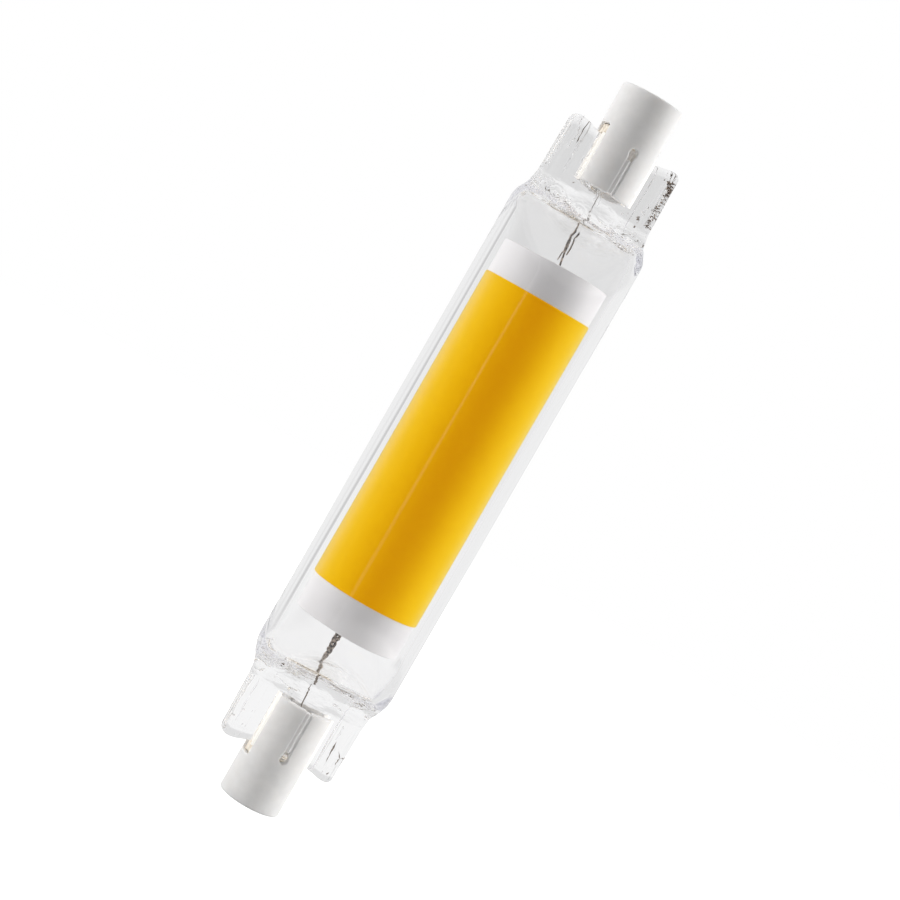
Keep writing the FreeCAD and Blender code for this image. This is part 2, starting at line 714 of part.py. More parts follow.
def chip_boxes(inner_radius):
    """One box for each chip, from inner_radius to the chip's top, in rows round the waist."""
    width = size("chip_width")
    length = size("chip_length")
    outer_radius = size("waist_radius") + size("chip_height")
    columns = int(size("chip_columns"))
    rows = int(size("chip_rows"))
    sleeve_start = size("carrier_start") + size("lower_collar_length")
    sleeve_stop = size("carrier_start") + size("carrier_length") - size("upper_collar_length")
    first = sleeve_start + size("chip_end_margin")
    pitch = (sleeve_stop - size("chip_end_margin") - length - first) / max(rows - 1, 1)
    chip = Part.makeBox(outer_radius - inner_radius, width, length, Vector(inner_radius, -width / 2, 0))
    chips = []
    for column in range(columns):
        turned = Rotation(Vector(0, 0, 1), (column + 0.5) * 360.0 / columns)
        for row in range(rows):
            placed = chip.copy()
            placed.Placement = Placement(Vector(0, 0, first + row * pitch), turned)
            chips.append(placed)
    return Part.makeCompound(chips)


def make_chips():
    item = doc.addObject("Part::Feature", "led_chips")
    item.Shape = chip_boxes(size("waist_radius"))
    keep("led_chips", item)


def make_phosphor():
    start = "Sizes.carrier_start + Sizes.lower_collar_length"
    stop = "Sizes.carrier_start + Sizes.carrier_length - Sizes.upper_collar_length"
    outer = "Sizes.waist_radius + Sizes.phosphor_thickness"
    body = turn("phosphor_ring", [
        ("Sizes.waist_radius", start),
        (outer, start),
        (outer, stop),
        ("Sizes.waist_radius", stop),
    ])
    radius = size("waist_radius") + size("phosphor_thickness")

    def outer_edge(edge):
        return edge.Curve.TypeId == "Part::GeomCircle" and abs(edge.Curve.Radius - radius) < 1e-4

    bevel_edges(body, "phosphor_edges", "Sizes.phosphor_bevel", outer_edge)
    pockets = doc.addObject("Part::Feature", "chip_pockets")
    below_waist = size("waist_radius") - size("chip_height")
    pockets.Shape = chip_boxes(below_waist)
    keep("phosphor_sleeve", cut("phosphor_sleeve", body, pockets))


# Driver board and its parts: the board's top faces +Y and touches the leads on the axis
BOARD_TOP = "(0 - Sizes.board_lead_radius)"
BOARD_START = "(Sizes.carrier_start + Sizes.disc_recess + Sizes.disc_thickness)"


def fuse_wire_places():
    """Heights of the two wires of the fuse resistor, above the board's lower end."""
    away = "(Sizes.fuse_length / 2 + Sizes.fuse_wire_reach)"
    return ["(Sizes.fuse_middle - %s)" % away, "(Sizes.fuse_middle + %s)" % away]


def upright(name, radius, low, high, along):
    """Round bar along Y between two heights above the board's top, at a place along the board."""
    item = doc.addObject("Part::Cylinder", name)
    item.Placement = Placement(Vector(0, 0, 0), Rotation(Vector(1, 0, 0), -90))
    item.setExpression("Radius", radius)
    item.setExpression("Height", "(%s) - (%s)" % (high, low))
    item.setExpression("Placement.Base.y", "%s + (%s)" % (BOARD_TOP, low))
    item.setExpression("Placement.Base.z", "%s + %s" % (BOARD_START, along))
    return item


def make_board():
    width = "Sizes.board_width"
    front = "%s - Sizes.board_thickness" % BOARD_TOP
    slab = box("board_slab", width, "Sizes.board_thickness", "Sizes.board_length", "0", front, BOARD_START)
    hole_radius = "Sizes.fuse_wire_radius + Sizes.solder_hole_clearance"
    holes = []
    for number, along in enumerate(fuse_wire_places()):
        low = "0 - Sizes.board_thickness"
        holes.append(upright("board_hole_%d" % number, hole_radius, low, "0", along))
    keep("driver_board", cut("driver_board", slab, fuse("board_holes", holes)))


def make_fuse_resistor():
    body_base = "%s + Sizes.fuse_middle - Sizes.fuse_length / 2" % BOARD_START
    body = cylinder("fuse_body", "Sizes.fuse_radius", "Sizes.fuse_length", body_base)
    body.setExpression("Placement.Base.y", "%s + Sizes.fuse_radius" % BOARD_TOP)
    low_place, high_place = fuse_wire_places()
    wire_base = "%s + %s" % (BOARD_START, low_place)
    wire = cylinder("fuse_wire", "Sizes.fuse_wire_radius", "%s - %s" % (high_place, low_place), wire_base)
    wire.setExpression("Placement.Base.y", "%s + Sizes.fuse_radius" % BOARD_TOP)
    pieces = [body, wire]
    below = "0 - Sizes.board_thickness - Sizes.fuse_wire_below"
    for number, along in enumerate((low_place, high_place)):
        radius = "Sizes.fuse_wire_radius"
        pieces.append(upright("fuse_leg_%d" % number, radius, below, "Sizes.fuse_radius", along))
        elbow = doc.addObject("Part::Sphere", "fuse_elbow_%d" % number)
        elbow.setExpression("Radius", "Sizes.fuse_wire_radius")
        elbow.setExpression("Placement.Base.y", "%s + Sizes.fuse_radius" % BOARD_TOP)
        elbow.setExpression("Placement.Base.z", "%s + %s" % (BOARD_START, along))
        pieces.append(elbow)
    keep("fuse_resistor", fuse("fuse_resistor", pieces))


def package(name, kind, middle, legs_per_side):
    """Moulded package with legs bent down to the board along both long sides."""
    width = "Sizes.%s_width" % kind
    length = "Sizes.%s_length" % kind
    height = "Sizes.%s_height" % kind
    base = "%s + %s - %s / 2" % (BOARD_START, middle, length)
    pieces = [box(name + "_body", width, height, length, "0", BOARD_TOP, base)]
    step = "%s / %d" % (length, legs_per_side)
    thick = "Sizes.leg_thickness"
    wide = "Sizes.leg_width"
    half_reach = "(Sizes.leg_reach / 2)"
    for side, sign in (("left", "-1"), ("right", "1")):
        for number in range(legs_per_side):
            leg_base = "%s + %s * %.1f - Sizes.leg_width / 2" % (base, step, number + 0.5)
            tag = "%s_%s_%d" % (name, side, number)
            across = "%s * (%s / 2 + %s / 2)" % (sign, width, half_reach)
            top = "%s + %s / 2 - Sizes.leg_thickness" % (BOARD_TOP, height)
            pieces.append(box(tag + "_shelf", half_reach, thick, wide, across, top, leg_base))
            drop = "%s / 2" % height
            across = "%s * (%s / 2 + %s - Sizes.leg_thickness / 2)" % (sign, width, half_reach)
            pieces.append(box(tag + "_drop", thick, drop, wide, across, BOARD_TOP, leg_base))
            across = "%s * (%s / 2 + %s * 1.5)" % (sign, width, half_reach)
            pieces.append(box(tag + "_foot", half_reach, thick, wide, across, BOARD_TOP, leg_base))
    return fuse(name, pieces)


def chip_part(name, kind, across, middle):
    """Small chip with flat sides that lies on the board."""
    width = "Sizes.%s_width" % kind
    length = "Sizes.%s_length" % kind
    height = "Sizes.%s_height" % kind
    base = "%s + %s - %s / 2" % (BOARD_START, middle, length)
    return box(name, width, height, length, across, BOARD_TOP, base)


def group(name, items):
    item = doc.addObject("Part::Compound", name)
    item.Links = items
    return item


def make_board_parts():
    make_fuse_resistor()
    bridge = package("bridge_rectifier", "bridge", "Sizes.bridge_middle", BRIDGE_LEGS_PER_SIDE)
    keep("bridge_rectifier", bridge)
    regulators = []
    for number in range(REGULATORS):
        middle = "Sizes.regulator_middle + %d * Sizes.regulator_spacing" % number
        name = "current_regulator_%d" % (number + 1)
        regulators.append(package(name, "regulator", middle, REGULATOR_LEGS_PER_SIDE))
    keep("current_regulators", group("current_regulators", regulators))
    keep("chip_capacitor", chip_part("chip_capacitor", "capacitor", "0", "Sizes.capacitor_middle"))
    resistors = []
    for side, across in (("left", "0 - Sizes.sense_offset"), ("right", "Sizes.sense_offset")):
        resistors.append(chip_part("sense_resistor_" + side, "sense", across, "Sizes.capacitor_middle"))
    keep("sense_resistors", group("sense_resistors", resistors))


def check_and_write():
    """Stop on any failed feature or poor shape, then write one STEP file for each node."""
    doc.recompute()
    for item in doc.Objects:
        if "Invalid" in item.State or "Error" in item.State:
            raise RuntimeError("%s failed: %s" % (item.Name, item.State))
    os.makedirs("parts", exist_ok=True)
    for name, item in nodes.items():
        if item.Shape.isNull() or not item.Shape.isValid():
            raise RuntimeError("%s has no valid shape" % name)
        item.Shape.exportStep("parts/%s.step" % name)
        box_of = item.Shape.BoundBox
        print("%-22s solids %3d  volume %9.3f  z %7.2f to %7.2f" % (
            name, len(item.Shape.Solids), item.Shape.Volume, box_of.ZMin, box_of.ZMax))


make_glass()
for lamp_end in (LOWER, UPPER):
    make_cap(lamp_end)
    make_contact(lamp_end)
    make_outer_lead(lamp_end)
    make_cement(lamp_end)
    make_seal_wire(lamp_end)
    make_inner_lead(lamp_end)
    make_board_lead(lamp_end)
    make_disc(lamp_end)
make_carrier()
make_chips()
make_phosphor()
make_board()
make_board_parts()
check_and_write()
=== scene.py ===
# Double-ended lamp, 78 mm long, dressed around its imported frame: clear glass with pressed ends,
# slotted ceramic caps, and a ceramic tube with a yellow phosphor sleeve.
# Shapes are worked out in millimetres in the frame's own axes and scaled to metres when a mesh
# is made. "height" is always counted from the end of the lamp that a form belongs to.
import json
import math
import bpy
import numpy as np
from mathutils import Matrix, Vector


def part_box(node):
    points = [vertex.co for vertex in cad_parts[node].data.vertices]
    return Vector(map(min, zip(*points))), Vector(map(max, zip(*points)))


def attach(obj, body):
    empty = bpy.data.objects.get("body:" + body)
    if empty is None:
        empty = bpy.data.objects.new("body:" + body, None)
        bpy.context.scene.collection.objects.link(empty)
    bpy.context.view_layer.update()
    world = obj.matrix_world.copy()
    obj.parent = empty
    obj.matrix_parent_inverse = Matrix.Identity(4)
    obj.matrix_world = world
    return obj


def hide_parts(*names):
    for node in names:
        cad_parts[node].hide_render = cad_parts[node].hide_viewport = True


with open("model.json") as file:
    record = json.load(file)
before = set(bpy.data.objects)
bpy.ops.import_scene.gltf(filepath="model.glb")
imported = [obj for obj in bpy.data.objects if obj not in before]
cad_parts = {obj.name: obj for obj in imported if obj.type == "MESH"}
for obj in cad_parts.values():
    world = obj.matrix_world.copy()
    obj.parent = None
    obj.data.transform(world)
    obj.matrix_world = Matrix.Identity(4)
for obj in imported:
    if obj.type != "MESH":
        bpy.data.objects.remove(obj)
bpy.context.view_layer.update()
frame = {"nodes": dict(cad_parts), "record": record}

MM = 0.001


def span(node):
    """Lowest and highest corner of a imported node, in millimetres."""
    low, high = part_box(node)
    return low / MM, high / MM


# Sizes read from the frame
cap_high = span("ceramic_cap_lower")[1]
upper_cap_low, upper_cap_high = span("ceramic_cap_upper")
contact_low, contact_high = span("contact_stud_lower")
carrier_low, carrier_high = span("carrier_tube")
phosphor_low, phosphor_high = span("phosphor_sleeve")
LENGTH = upper_cap_high.z
TUBE_RADIUS = span("glass_envelope")[1].y
CAP_RADIUS = cap_high.x
CAP_LENGTHS = {"lower": cap_high.z, "upper": LENGTH - upper_cap_low.z}
CONTACT_RADIUS = contact_high.x
CONTACT_FACE = contact_low.z
CONTACT_END = contact_high.z
COLLAR_RADIUS = carrier_high.x
SLEEVE_RADIUS = phosphor_high.x

# Sizes of the glass, as in the solid
TUBE_WALL = 1.07
BORE_RADIUS = TUBE_RADIUS - TUBE_WALL
SHOULDER_START = 14.8
SHOULDER_FOOT = 11.7
PRESS_ROOT = 12.6
ROOT_HALF_WIDTH = 6.25
TIP_HALF_WIDTH = 6.1
WEB_HALF = 1.16
RIM_HALF = 1.62
RIM_STEP = 0.14
RIM_SWELL = (2.9, 4.4)
RIM_EDGE = (4.4, 4.65)
RIM_ROUND = 1.15
EAR_TIP = 4.75
PRESS_END = 5.4
BOSS_RADIUS = 2.2
BOSS_FLATTENED = (9.4, 10.8)
BOSS_SHALLOWER = 0.6
SQUEEZE_START = 17.4
SQUEEZE_FOOT = 13.3
SQUEEZE_ROUND = 3.5
WEB_HALF_AT_FOOT = 1.2
FLOOR_LOWER = 14.6
FLOOR_UPPER = 13.95
SIDE_WALL = 1.1
FLOOR_MIDDLE = 14.25
BEND_OUTSIDE = 3.0
BEND_INSIDE = 2.5
BEND_LEAST = 0.8

# Camera, from the photograph of 900 by 900 pixels
PHOTO_SIZE = 900
FOCAL_PIXELS = 2298.0
CAMERA_DISTANCE = 221.0
CAMERA_AZIMUTH = math.radians(-18.5)
CAMERA_ELEVATION = math.radians(3.0)
CAMERA_ROLL = math.radians(29.97)
MIDDLE_PIXEL = (449.1, 452.5)
SENSOR_WIDTH = 36.0


# Small tools for fields: a field is below zero inside the form
def smooth_min(first, second, blend):
    near = np.maximum(blend - np.abs(first - second), 0.0) / blend
    return np.minimum(first, second) - near * near * blend * 0.25


def smooth_max(first, second, blend):
    return -smooth_min(-first, -second, blend)


def oval(x, y, half_width, half_depth):
    """About the distance to an ellipse."""
    scaled = np.hypot(x / half_width, y / half_depth)
    steep = np.hypot(x / half_width ** 2, y / half_depth ** 2) + 1e-9
    return scaled * (scaled - 1.0) / steep


def round_box(x, y, half_width, half_depth, radius):
    """Distance to a rectangle with rounded corners, centred on zero."""
    over_x = np.abs(x) - half_width + radius
    over_y = np.abs(y) - half_depth + radius
    outside = np.hypot(np.maximum(over_x, 0.0), np.maximum(over_y, 0.0))
    return outside + np.minimum(np.maximum(over_x, over_y), 0.0) - radius


WAVE_COUNT = 9


def waves(seed, wavelength, stretch=(1.0, 1.0, 1.0)):
    """Smooth random relief of about unit size: a sum of sine waves in seeded directions."""
    draw = np.random.default_rng(seed)
    ways = draw.normal(size=(WAVE_COUNT, 3))
    ways *= 2 * math.pi / wavelength / np.linalg.norm(ways, axis=1)[:, None]
    ways /= np.array(stretch)
    phases = draw.uniform(0, 2 * math.pi, WAVE_COUNT)

    def relief(x, y, z):
        total = np.zeros_like(x)
        for way, phase in zip(ways, phases):
            total += np.sin(way[0] * x + way[1] * y + way[2] * z + phase)
        return total / math.sqrt(WAVE_COUNT)

    return relief


def steps(*stretches):
    """Grid places from (start, stop, step) stretches that follow each other."""
    places = []
    for start, stop, step in stretches:
        count = max(1, round((stop - start) / step))
        places += list(np.linspace(start, stop, count, endpoint=False))
    return np.array(places + [stretches[-1][1]])


CORNERS = [(i, j, k) for i in (0, 1) for j in (0, 1) for k in (0, 1)]
CELL_EDGES = [
    (a, b) for a in CORNERS for b in CORNERS
    if a < b and sum(np.abs(np.subtract(a, b))) == 1]
SETTLING_ROUNDS = 4
LONGEST_MOVE = 0.05


def slopes(field, points, reach=0.01):
    """Gradient of a field at points."""
    x, y, z = points.T
    across = field(x + reach, y, z) - field(x - reach, y, z)
    through = field(x, y + reach, z) - field(x, y - reach, z)
    along = field(x, y, z + reach) - field(x, y, z - reach)
    return np.stack([across, through, along], axis=1) / (2 * reach)


def skin(field, xs, ys, zs):
    """Points, quads and unit normals of the surface where field is zero, by surface nets."""
    grid = np.meshgrid(xs, ys, zs, indexing="ij")
    values = field(*grid)
    inside = values < 0
    count = np.zeros(np.array(values.shape) - 1, np.int8)
    for i, j, k in CORNERS:
        count += inside[i:i + count.shape[0], j:j + count.shape[1], k:k + count.shape[2]]
    mixed = (count > 0) & (count < 8)
    cells = np.argwhere(mixed)
    number = np.full(mixed.shape, -1)
    number[mixed] = np.arange(len(cells))
    total = np.zeros((len(cells), 3))
    hits = np.zeros(len(cells))
    for start, stop in CELL_EDGES:
        first = tuple((cells + start).T)
        second = tuple((cells + stop).T)
        one, other = values[first], values[second]
        crossed = (one < 0) != (other < 0)
        share = np.where(crossed, one / np.where(crossed, one - other, 1.0), 0.0)
        for axis in range(3):
            low, high = grid[axis][first], grid[axis][second]
            total[:, axis] += np.where(crossed, low + share * (high - low), 0.0)
        hits += crossed
    points = total / hits[:, None]
    quads = [quads_across(inside, number, axis) for axis in range(3)]
    for _ in range(SETTLING_ROUNDS):
        slope = slopes(field, points)
        length = np.maximum((slope ** 2).sum(axis=1), 1e-6)
        move = slope * (field(*points.T) / length)[:, None]
        points -= np.clip(move, -LONGEST_MOVE, LONGEST_MOVE)
    normals = slopes(field, points)
    normals /= np.maximum(np.linalg.norm(normals, axis=1), 1e-9)[:, None]
    return points, np.concatenate(quads), normals


def quads_across(inside, number, axis):
    """Quads round the grid edges along one axis that the surface crosses."""
    order = [axis, (axis + 1) % 3, (axis + 2) % 3]
    flags = np.transpose(inside, order)
    ids = np.transpose(number, order)
    before, after = flags[:-1, 1:-1, 1:-1], flags[1:, 1:-1, 1:-1]
    i, j, k = np.nonzero(before != after)
    round_edge = [ids[i, j, k], ids[i, j + 1, k], ids[i, j + 1, k + 1], ids[i, j, k + 1]]
    quads = np.stack(round_edge, axis=1)
    leaving = before[i, j, k]
    quads[~leaving] = quads[~leaving][:, ::-1]
    return quads


# Making pieces: modelled at the lower end, and turned half round X for the upper one
ENDS = ("lower", "upper")
materials = {}


def piece(name, slot, replaced, points, faces, normals=None, look=None):
    """Object with that mesh, points in millimetres, that rides on the part."""
    mesh = bpy.data.meshes.new(name)
    mesh.from_pydata((np.asarray(points) * MM).tolist(), [], [list(map(int, face)) for face in faces])
    mesh.polygons.foreach_set("use_smooth", [True] * len(mesh.polygons))
    if normals is not None:
        mesh.normals_split_custom_set_from_vertices(np.asarray(normals).tolist())
    mesh.materials.append(materials[look or slot])
    made = bpy.data.objects.new(name, mesh)
    bpy.context.scene.collection.objects.link(made)
    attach(made, "root")
    if replaced:
        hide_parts(*replaced)
    return made


def turned_to(end, points):
    """Points or normals of the lower end as they are at that end, round the origin."""
    return points if end == "lower" else points * np.array([1.0, -1.0, -1.0])


def placed_at(end, points):
    """Points of the lower end, moved to that end."""
    turned = turned_to(end, points)
    return turned if end == "lower" else turned + np.array([0.0, 0.0, LENGTH])


def end_piece(end, name, slot, replaced, points, faces, normals=None, look=None):
    """Piece at that end of the lamp, from the lower one's mesh; %s in a name stands for the end."""
    if normals is not None:
        normals = turned_to(end, normals)
    nodes = [node % end for node in replaced]
    piece(name % end, slot, nodes, placed_at(end, points), faces, normals, look)


def arc(centre, radius, start, stop, count=6):
    """Points (r, z) on an arc, angles in degrees from the outward direction."""
    angles = np.radians(np.linspace(start, stop, count))
    return [(centre[0] + radius * math.cos(a), centre[1] + radius * math.sin(a)) for a in angles]


def circle(segments):
    """Cosine and sine at even steps round a circle."""
    angles = [2 * math.pi * step / segments for step in range(segments)]
    return [(math.cos(angle), math.sin(angle)) for angle in angles]


def band(low, high, segments):
    """Faces between two rings of points, which start at the numbers low and high."""
    faces = []
    for step in range(segments):
        beside = (step + 1) % segments
        faces.append((low + step, low + beside, high + beside, high + step))
    return faces


def lathe(profile, segments):
    """Points and faces of a closed profile of (r, z) turned round Z."""
    points = []
    faces = []
    for row, (radius, z) in enumerate(profile):
        points += [(radius * cos, radius * sin, z) for cos, sin in circle(segments)]
        faces += band(row * segments, (row + 1) % len(profile) * segments, segments)
    return np.array(points), faces


def sweep(path, radii, segments):
    """Closed round bar along a path of points, with a radius at each."""
    path = np.asarray(path, float)
    along = np.gradient(path, axis=0)
    along /= np.linalg.norm(along, axis=1)[:, None]
    side = np.cross(along[0], (0.0, 1.0, 0.3))
    points = []
    for place, way, radius in zip(path, along, radii):
        side = side - way * np.dot(side, way)
        side /= np.linalg.norm(side)
        other = np.cross(way, side)
        points += [place + radius * (cos * side + sin * other) for cos, sin in circle(segments)]
    last = (len(path) - 1) * segments
    faces = []
    for low in range(0, last, segments):
        faces += band(low, low + segments, segments)
    faces.append(tuple(range(segments))[::-1])
    faces.append(tuple(range(last, last + segments)))
    return np.array(points), faces


def joined(parts):
    """One mesh from several (points, faces)."""
    points, faces, shift = [], [], 0
    for part_points, part_faces in parts:
        points.append(part_points)
        faces += [tuple(int(corner) + shift for corner in face) for face in part_faces]
        shift += len(part_points)
    return np.concatenate(points), faces


# Materials
class Nodes:
    """Short way to write the nodes of a material or of the world."""

    def __init__(self, tree):
        self.tree = tree

    def fill(self, node, values):
        """Fills sockets, by name or number, with constants or with other nodes' outputs."""
        for name, value in values.items():
            if isinstance(value, bpy.types.NodeSocket):
                self.tree.links.new(value, node.inputs[name])
            else:
                node.inputs[name].default_value = value

    def add(self, kind, output, values, **settings):
        """Output of a new node with those values and settings."""
        node = self.tree.nodes.new(kind)
        for key, value in settings.items():
            setattr(node, key, value)
        self.fill(node, values)
        return node.outputs[output]

    def math(self, operation, *values, clamp=False):
        values = dict(enumerate(values))
        return self.add("ShaderNodeMath", 0, values, operation=operation, use_clamp=clamp)

    def vector(self, operation, *values, output="Vector"):
        return self.add("ShaderNodeVectorMath", output, dict(enumerate(values)), operation=operation)

    def choose(self, flag, when_off, when_on):
        values = {"Factor": flag, "A": when_off, "B": when_on}
        return self.add("ShaderNodeMix", "Result", values, data_type="FLOAT")

    def mixed(self, flag, when_off, when_on):
        return self.add("ShaderNodeMixShader", "Shader", {0: flag, 1: when_off, 2: when_on})

    def place(self, kind="Object"):
        return self.add("ShaderNodeTexCoord", kind, {})

    def noise(self, scale, detail, stretch=(1, 1, 1)):
        """Noise over the object's own coordinates, scale in waves per millimetre."""
        scales = [scale / MM / s for s in stretch]
        place = self.add("ShaderNodeMapping", "Vector", {"Vector": self.place(), "Scale": scales})
        values = {"Vector": place, "Scale": 1.0, "Detail": detail, "Roughness": 0.5}
        return self.add("ShaderNodeTexNoise", "Fac", values)

    def ramp(self, value, stops):
        colour = self.add("ShaderNodeValToRGB", "Color", {"Fac": value})
        elements = colour.node.color_ramp.elements
        while len(elements) < len(stops):
            elements.new(0.5)
        for element, (position, tone) in zip(elements, stops):
            element.position = position
            element.color = (*tone, 1.0)
        return colour

    def spread(self, value, low, high):
        """A 0 to 1 value mapped to the range from low to high."""
        return self.add("ShaderNodeMapRange", "Result", {"Value": value, "To Min": low, "To Max": high})

    def eased(self, value, low, high, first, second):
        """Goes smoothly from first to second while value goes from low to high."""
        values = {"Value": value, "From Min": low, "From Max": high, "To Min": first, "To Max": second}
        return self.add("ShaderNodeMapRange", "Result", values, interpolation_type="SMOOTHSTEP")

    def bump(self, height, distance):
        return self.add("ShaderNodeBump", "Normal", {"Height": height, "Distance": distance * MM})


def new_material(name, roughness=0.5, metallic=0.0, ior=1.5):
    material = bpy.data.materials.new(name)
    material.use_nodes = True
    materials[name] = material
    nodes = Nodes(material.node_tree)
    shader = nodes.tree.nodes["Principled BSDF"]
    nodes.fill(shader, {"Roughness": roughness, "Metallic": metallic, "IOR": ior})
    return nodes, shader, nodes.tree.nodes["Material Output"]


ROUGHNESS_RANGE = 0.06


def toned(name, dark, light, roughness, grain, relief, metallic=0.0, deep=0.0, blend=0.2, glow=None):
    """Material of two tones with fine relief: grain in waves per mm, relief and deep in mm."""
    nodes, shader, _ = new_material(name, metallic=metallic)
    if deep:
        nodes.fill(shader, {"Subsurface Weight": 0.5, "Subsurface Radius": (1.0, 0.95, 0.9),
                            "Subsurface Scale": deep * MM})
    if glow:
        nodes.fill(shader, {"Emission Color": glow, "Emission Strength": 1.0})
    tone = nodes.noise(grain, 4.0)
    nodes.fill(shader, {
        "Base Color": nodes.ramp(tone, [(0.5 - blend, dark), (0.5 + blend, light)]),
        "Roughness": nodes.spread(tone, roughness - ROUGHNESS_RANGE, roughness + ROUGHNESS_RANGE),
        "Normal": nodes.bump(nodes.noise(grain * 3, 2.0), relief)})


# Clear glass: its tint, what it absorbs, and its fine relief in millimetres
GLASS_TINT = (0.988, 0.988, 0.99, 1.0)
ABSORBING_TINT = (0.93, 0.93, 0.95, 1.0)
GLASS_DENSITY = 25.0
PRESS_RELIEF = 0.014
MELT_RELIEF = 0.05
PRESS_WINDOW = (4.0, 11.6, 0.6)
MELT_WINDOW = (11.6, 13.6, 0.8)
SWIRL_WAVER = 4.0
SWIRL_EDGE = 0.55
# Curls in the melt: centre across and height, reach across and along, ring width, relief
SWIRLS = {"upper": [
    (-4.3, 12.7, 1.9, 1.3, 0.44, 0.036),
    (1.3, 11.9, 2.3, 1.2, 0.5, 0.014),
    (4.2, 12.9, 2.2, 1.2, 0.44, 0.036),
    (-1.6, 12.9, 1.6, 1.0, 0.4, 0.02),
], "lower": [
    (-4.4, 13.4, 1.8, 1.3, 0.44, 0.024),
    (4.6, 13.4, 2.2, 1.1, 0.42, 0.024),
    (-1.5, 13.0, 2.0, 1.0, 0.4, 0.012),
]}


def window(nodes, value, low, high, soft):
    """One between low and high, easing to nought over soft on both sides, all in millimetres."""
    rise = nodes.eased(value, (low - soft) * MM, low * MM, 0.0, 1.0)
    fall = nodes.eased(value, high * MM, (high + soft) * MM, 1.0, 0.0)
    return nodes.math("MULTIPLY", rise, fall)


def swirl(nodes, end, across, height, reach_across, reach_along, ring, relief):
    """Relief of wavering rings round a point, fading out at the reach."""
    up = height if end == "lower" else LENGTH - height
    centred = nodes.vector("SUBTRACT", nodes.place(), (across * MM, 0.0, up * MM))
    near = nodes.vector("DIVIDE", centred, (reach_across * MM, 1.0, reach_along * MM))
    away = nodes.vector("LENGTH", near, output="Value")
    waver = nodes.spread(nodes.noise(0.7, 2.0), -1.6, 1.6)
    turns = nodes.math("MULTIPLY", away, 2 * math.pi * reach_along / ring)
    rings = nodes.math("SINE", nodes.math("ADD", turns, nodes.math("MULTIPLY", waver, SWIRL_WAVER)))
    return nodes.math("MULTIPLY", rings, nodes.eased(away, SWIRL_EDGE, 1.0, relief * MM, 0.0))


def glass_relief(nodes):
    """Height of the fine relief: streaks along the press, flow across the melt, and curls."""
    up = nodes.add("ShaderNodeSeparateXYZ", "Z", {"Vector": nodes.place()})
    height = nodes.math("MINIMUM", up, nodes.math("SUBTRACT", LENGTH * MM, up))
    streaks = nodes.noise(2.2, 1.0, (1, 1, 14))
    streaks = nodes.spread(streaks, -PRESS_RELIEF * MM, PRESS_RELIEF * MM)
    flow = nodes.noise(2.4, 2.0, (5, 2, 1))
    flow = nodes.spread(flow, -MELT_RELIEF * MM, MELT_RELIEF * MM)
    streaks = nodes.math("MULTIPLY", streaks, window(nodes, height, *PRESS_WINDOW))
    flow = nodes.math("MULTIPLY", flow, window(nodes, height, *MELT_WINDOW))
    total = nodes.math("ADD", streaks, flow)
    for end, curls in SWIRLS.items():
        for curl in curls:
            total = nodes.math("ADD", total, swirl(nodes, end, *curl))
    return nodes.math("DIVIDE", total, MM)


def make_glass_material():
    """Clear glass that lets the lamps' light and soft light through to what it holds."""
    nodes, shader, output = new_material("clear_glass", roughness=0.0, ior=1.47)
    relief = nodes.bump(glass_relief(nodes), 1.0)
    nodes.fill(shader, {"Base Color": GLASS_TINT, "Transmission Weight": 1.0, "Normal": relief})
    clear = nodes.add("ShaderNodeBsdfTransparent", "BSDF", {})
    path = nodes.tree.nodes.new("ShaderNodeLightPath").outputs
    for_soft = nodes.mixed(path["Is Diffuse Ray"], shader.outputs["BSDF"], clear)
    for_lamps = nodes.mixed(path["Is Shadow Ray"], for_soft, clear)
    absorb = {"Color": ABSORBING_TINT, "Density": GLASS_DENSITY}
    absorb = nodes.add("ShaderNodeVolumeAbsorption", "Volume", absorb)
    nodes.fill(output, {"Surface": for_lamps, "Volume": absorb})


PHOSPHOR_DARK = (0.6208, 0.5432, 0.0)
PHOSPHOR_LIGHT = (0.64, 0.56, 0.0)
# Painted glow: a steady red emission that lifts the shaded middle of the phosphor
PHOSPHOR_PAINTED_GLOW = (0.36, 0.0, 0.0, 1.0)
PHOSPHOR_SHEEN = (1.0, 0.8, 0.05, 1.0)


def make_phosphor_material():
    """Yellow silicone with phosphor powder, and a painted red glow that lifts its shaded middle."""
    nodes, shader, _ = new_material("phosphor", ior=1.41)
    powder = nodes.noise(1.6, 5.0)
    nodes.fill(shader, {
        "Base Color": nodes.ramp(powder, [(0.3, PHOSPHOR_DARK), (0.7, PHOSPHOR_LIGHT)]),
        "Roughness": nodes.spread(powder, 0.36, 0.44), "Specular IOR Level": 0.08,
        "Emission Color": PHOSPHOR_PAINTED_GLOW, "Emission Strength": 1.0, "Sheen Weight": 1.0,
        "Sheen Roughness": 0.6, "Sheen Tint": PHOSPHOR_SHEEN,
        "Normal": nodes.bump(nodes.noise(0.5, 1.0), 0.01)})


# Painted glow of the pads in the wide slots, standing in for light that comes through the ceramic
SLOT_PAINTED_GLOW = (0.45, 0.43, 0.4, 1.0)

make_glass_material()
make_phosphor_material()
toned("cap_ceramic", (0.78, 0.77, 0.76), (0.82, 0.81, 0.8), 0.42, 1.2, 0.004, deep=0.7)
toned("slot_filler", (0.84, 0.83, 0.82), (0.88, 0.87, 0.86), 0.42, 1.2, 0.004)
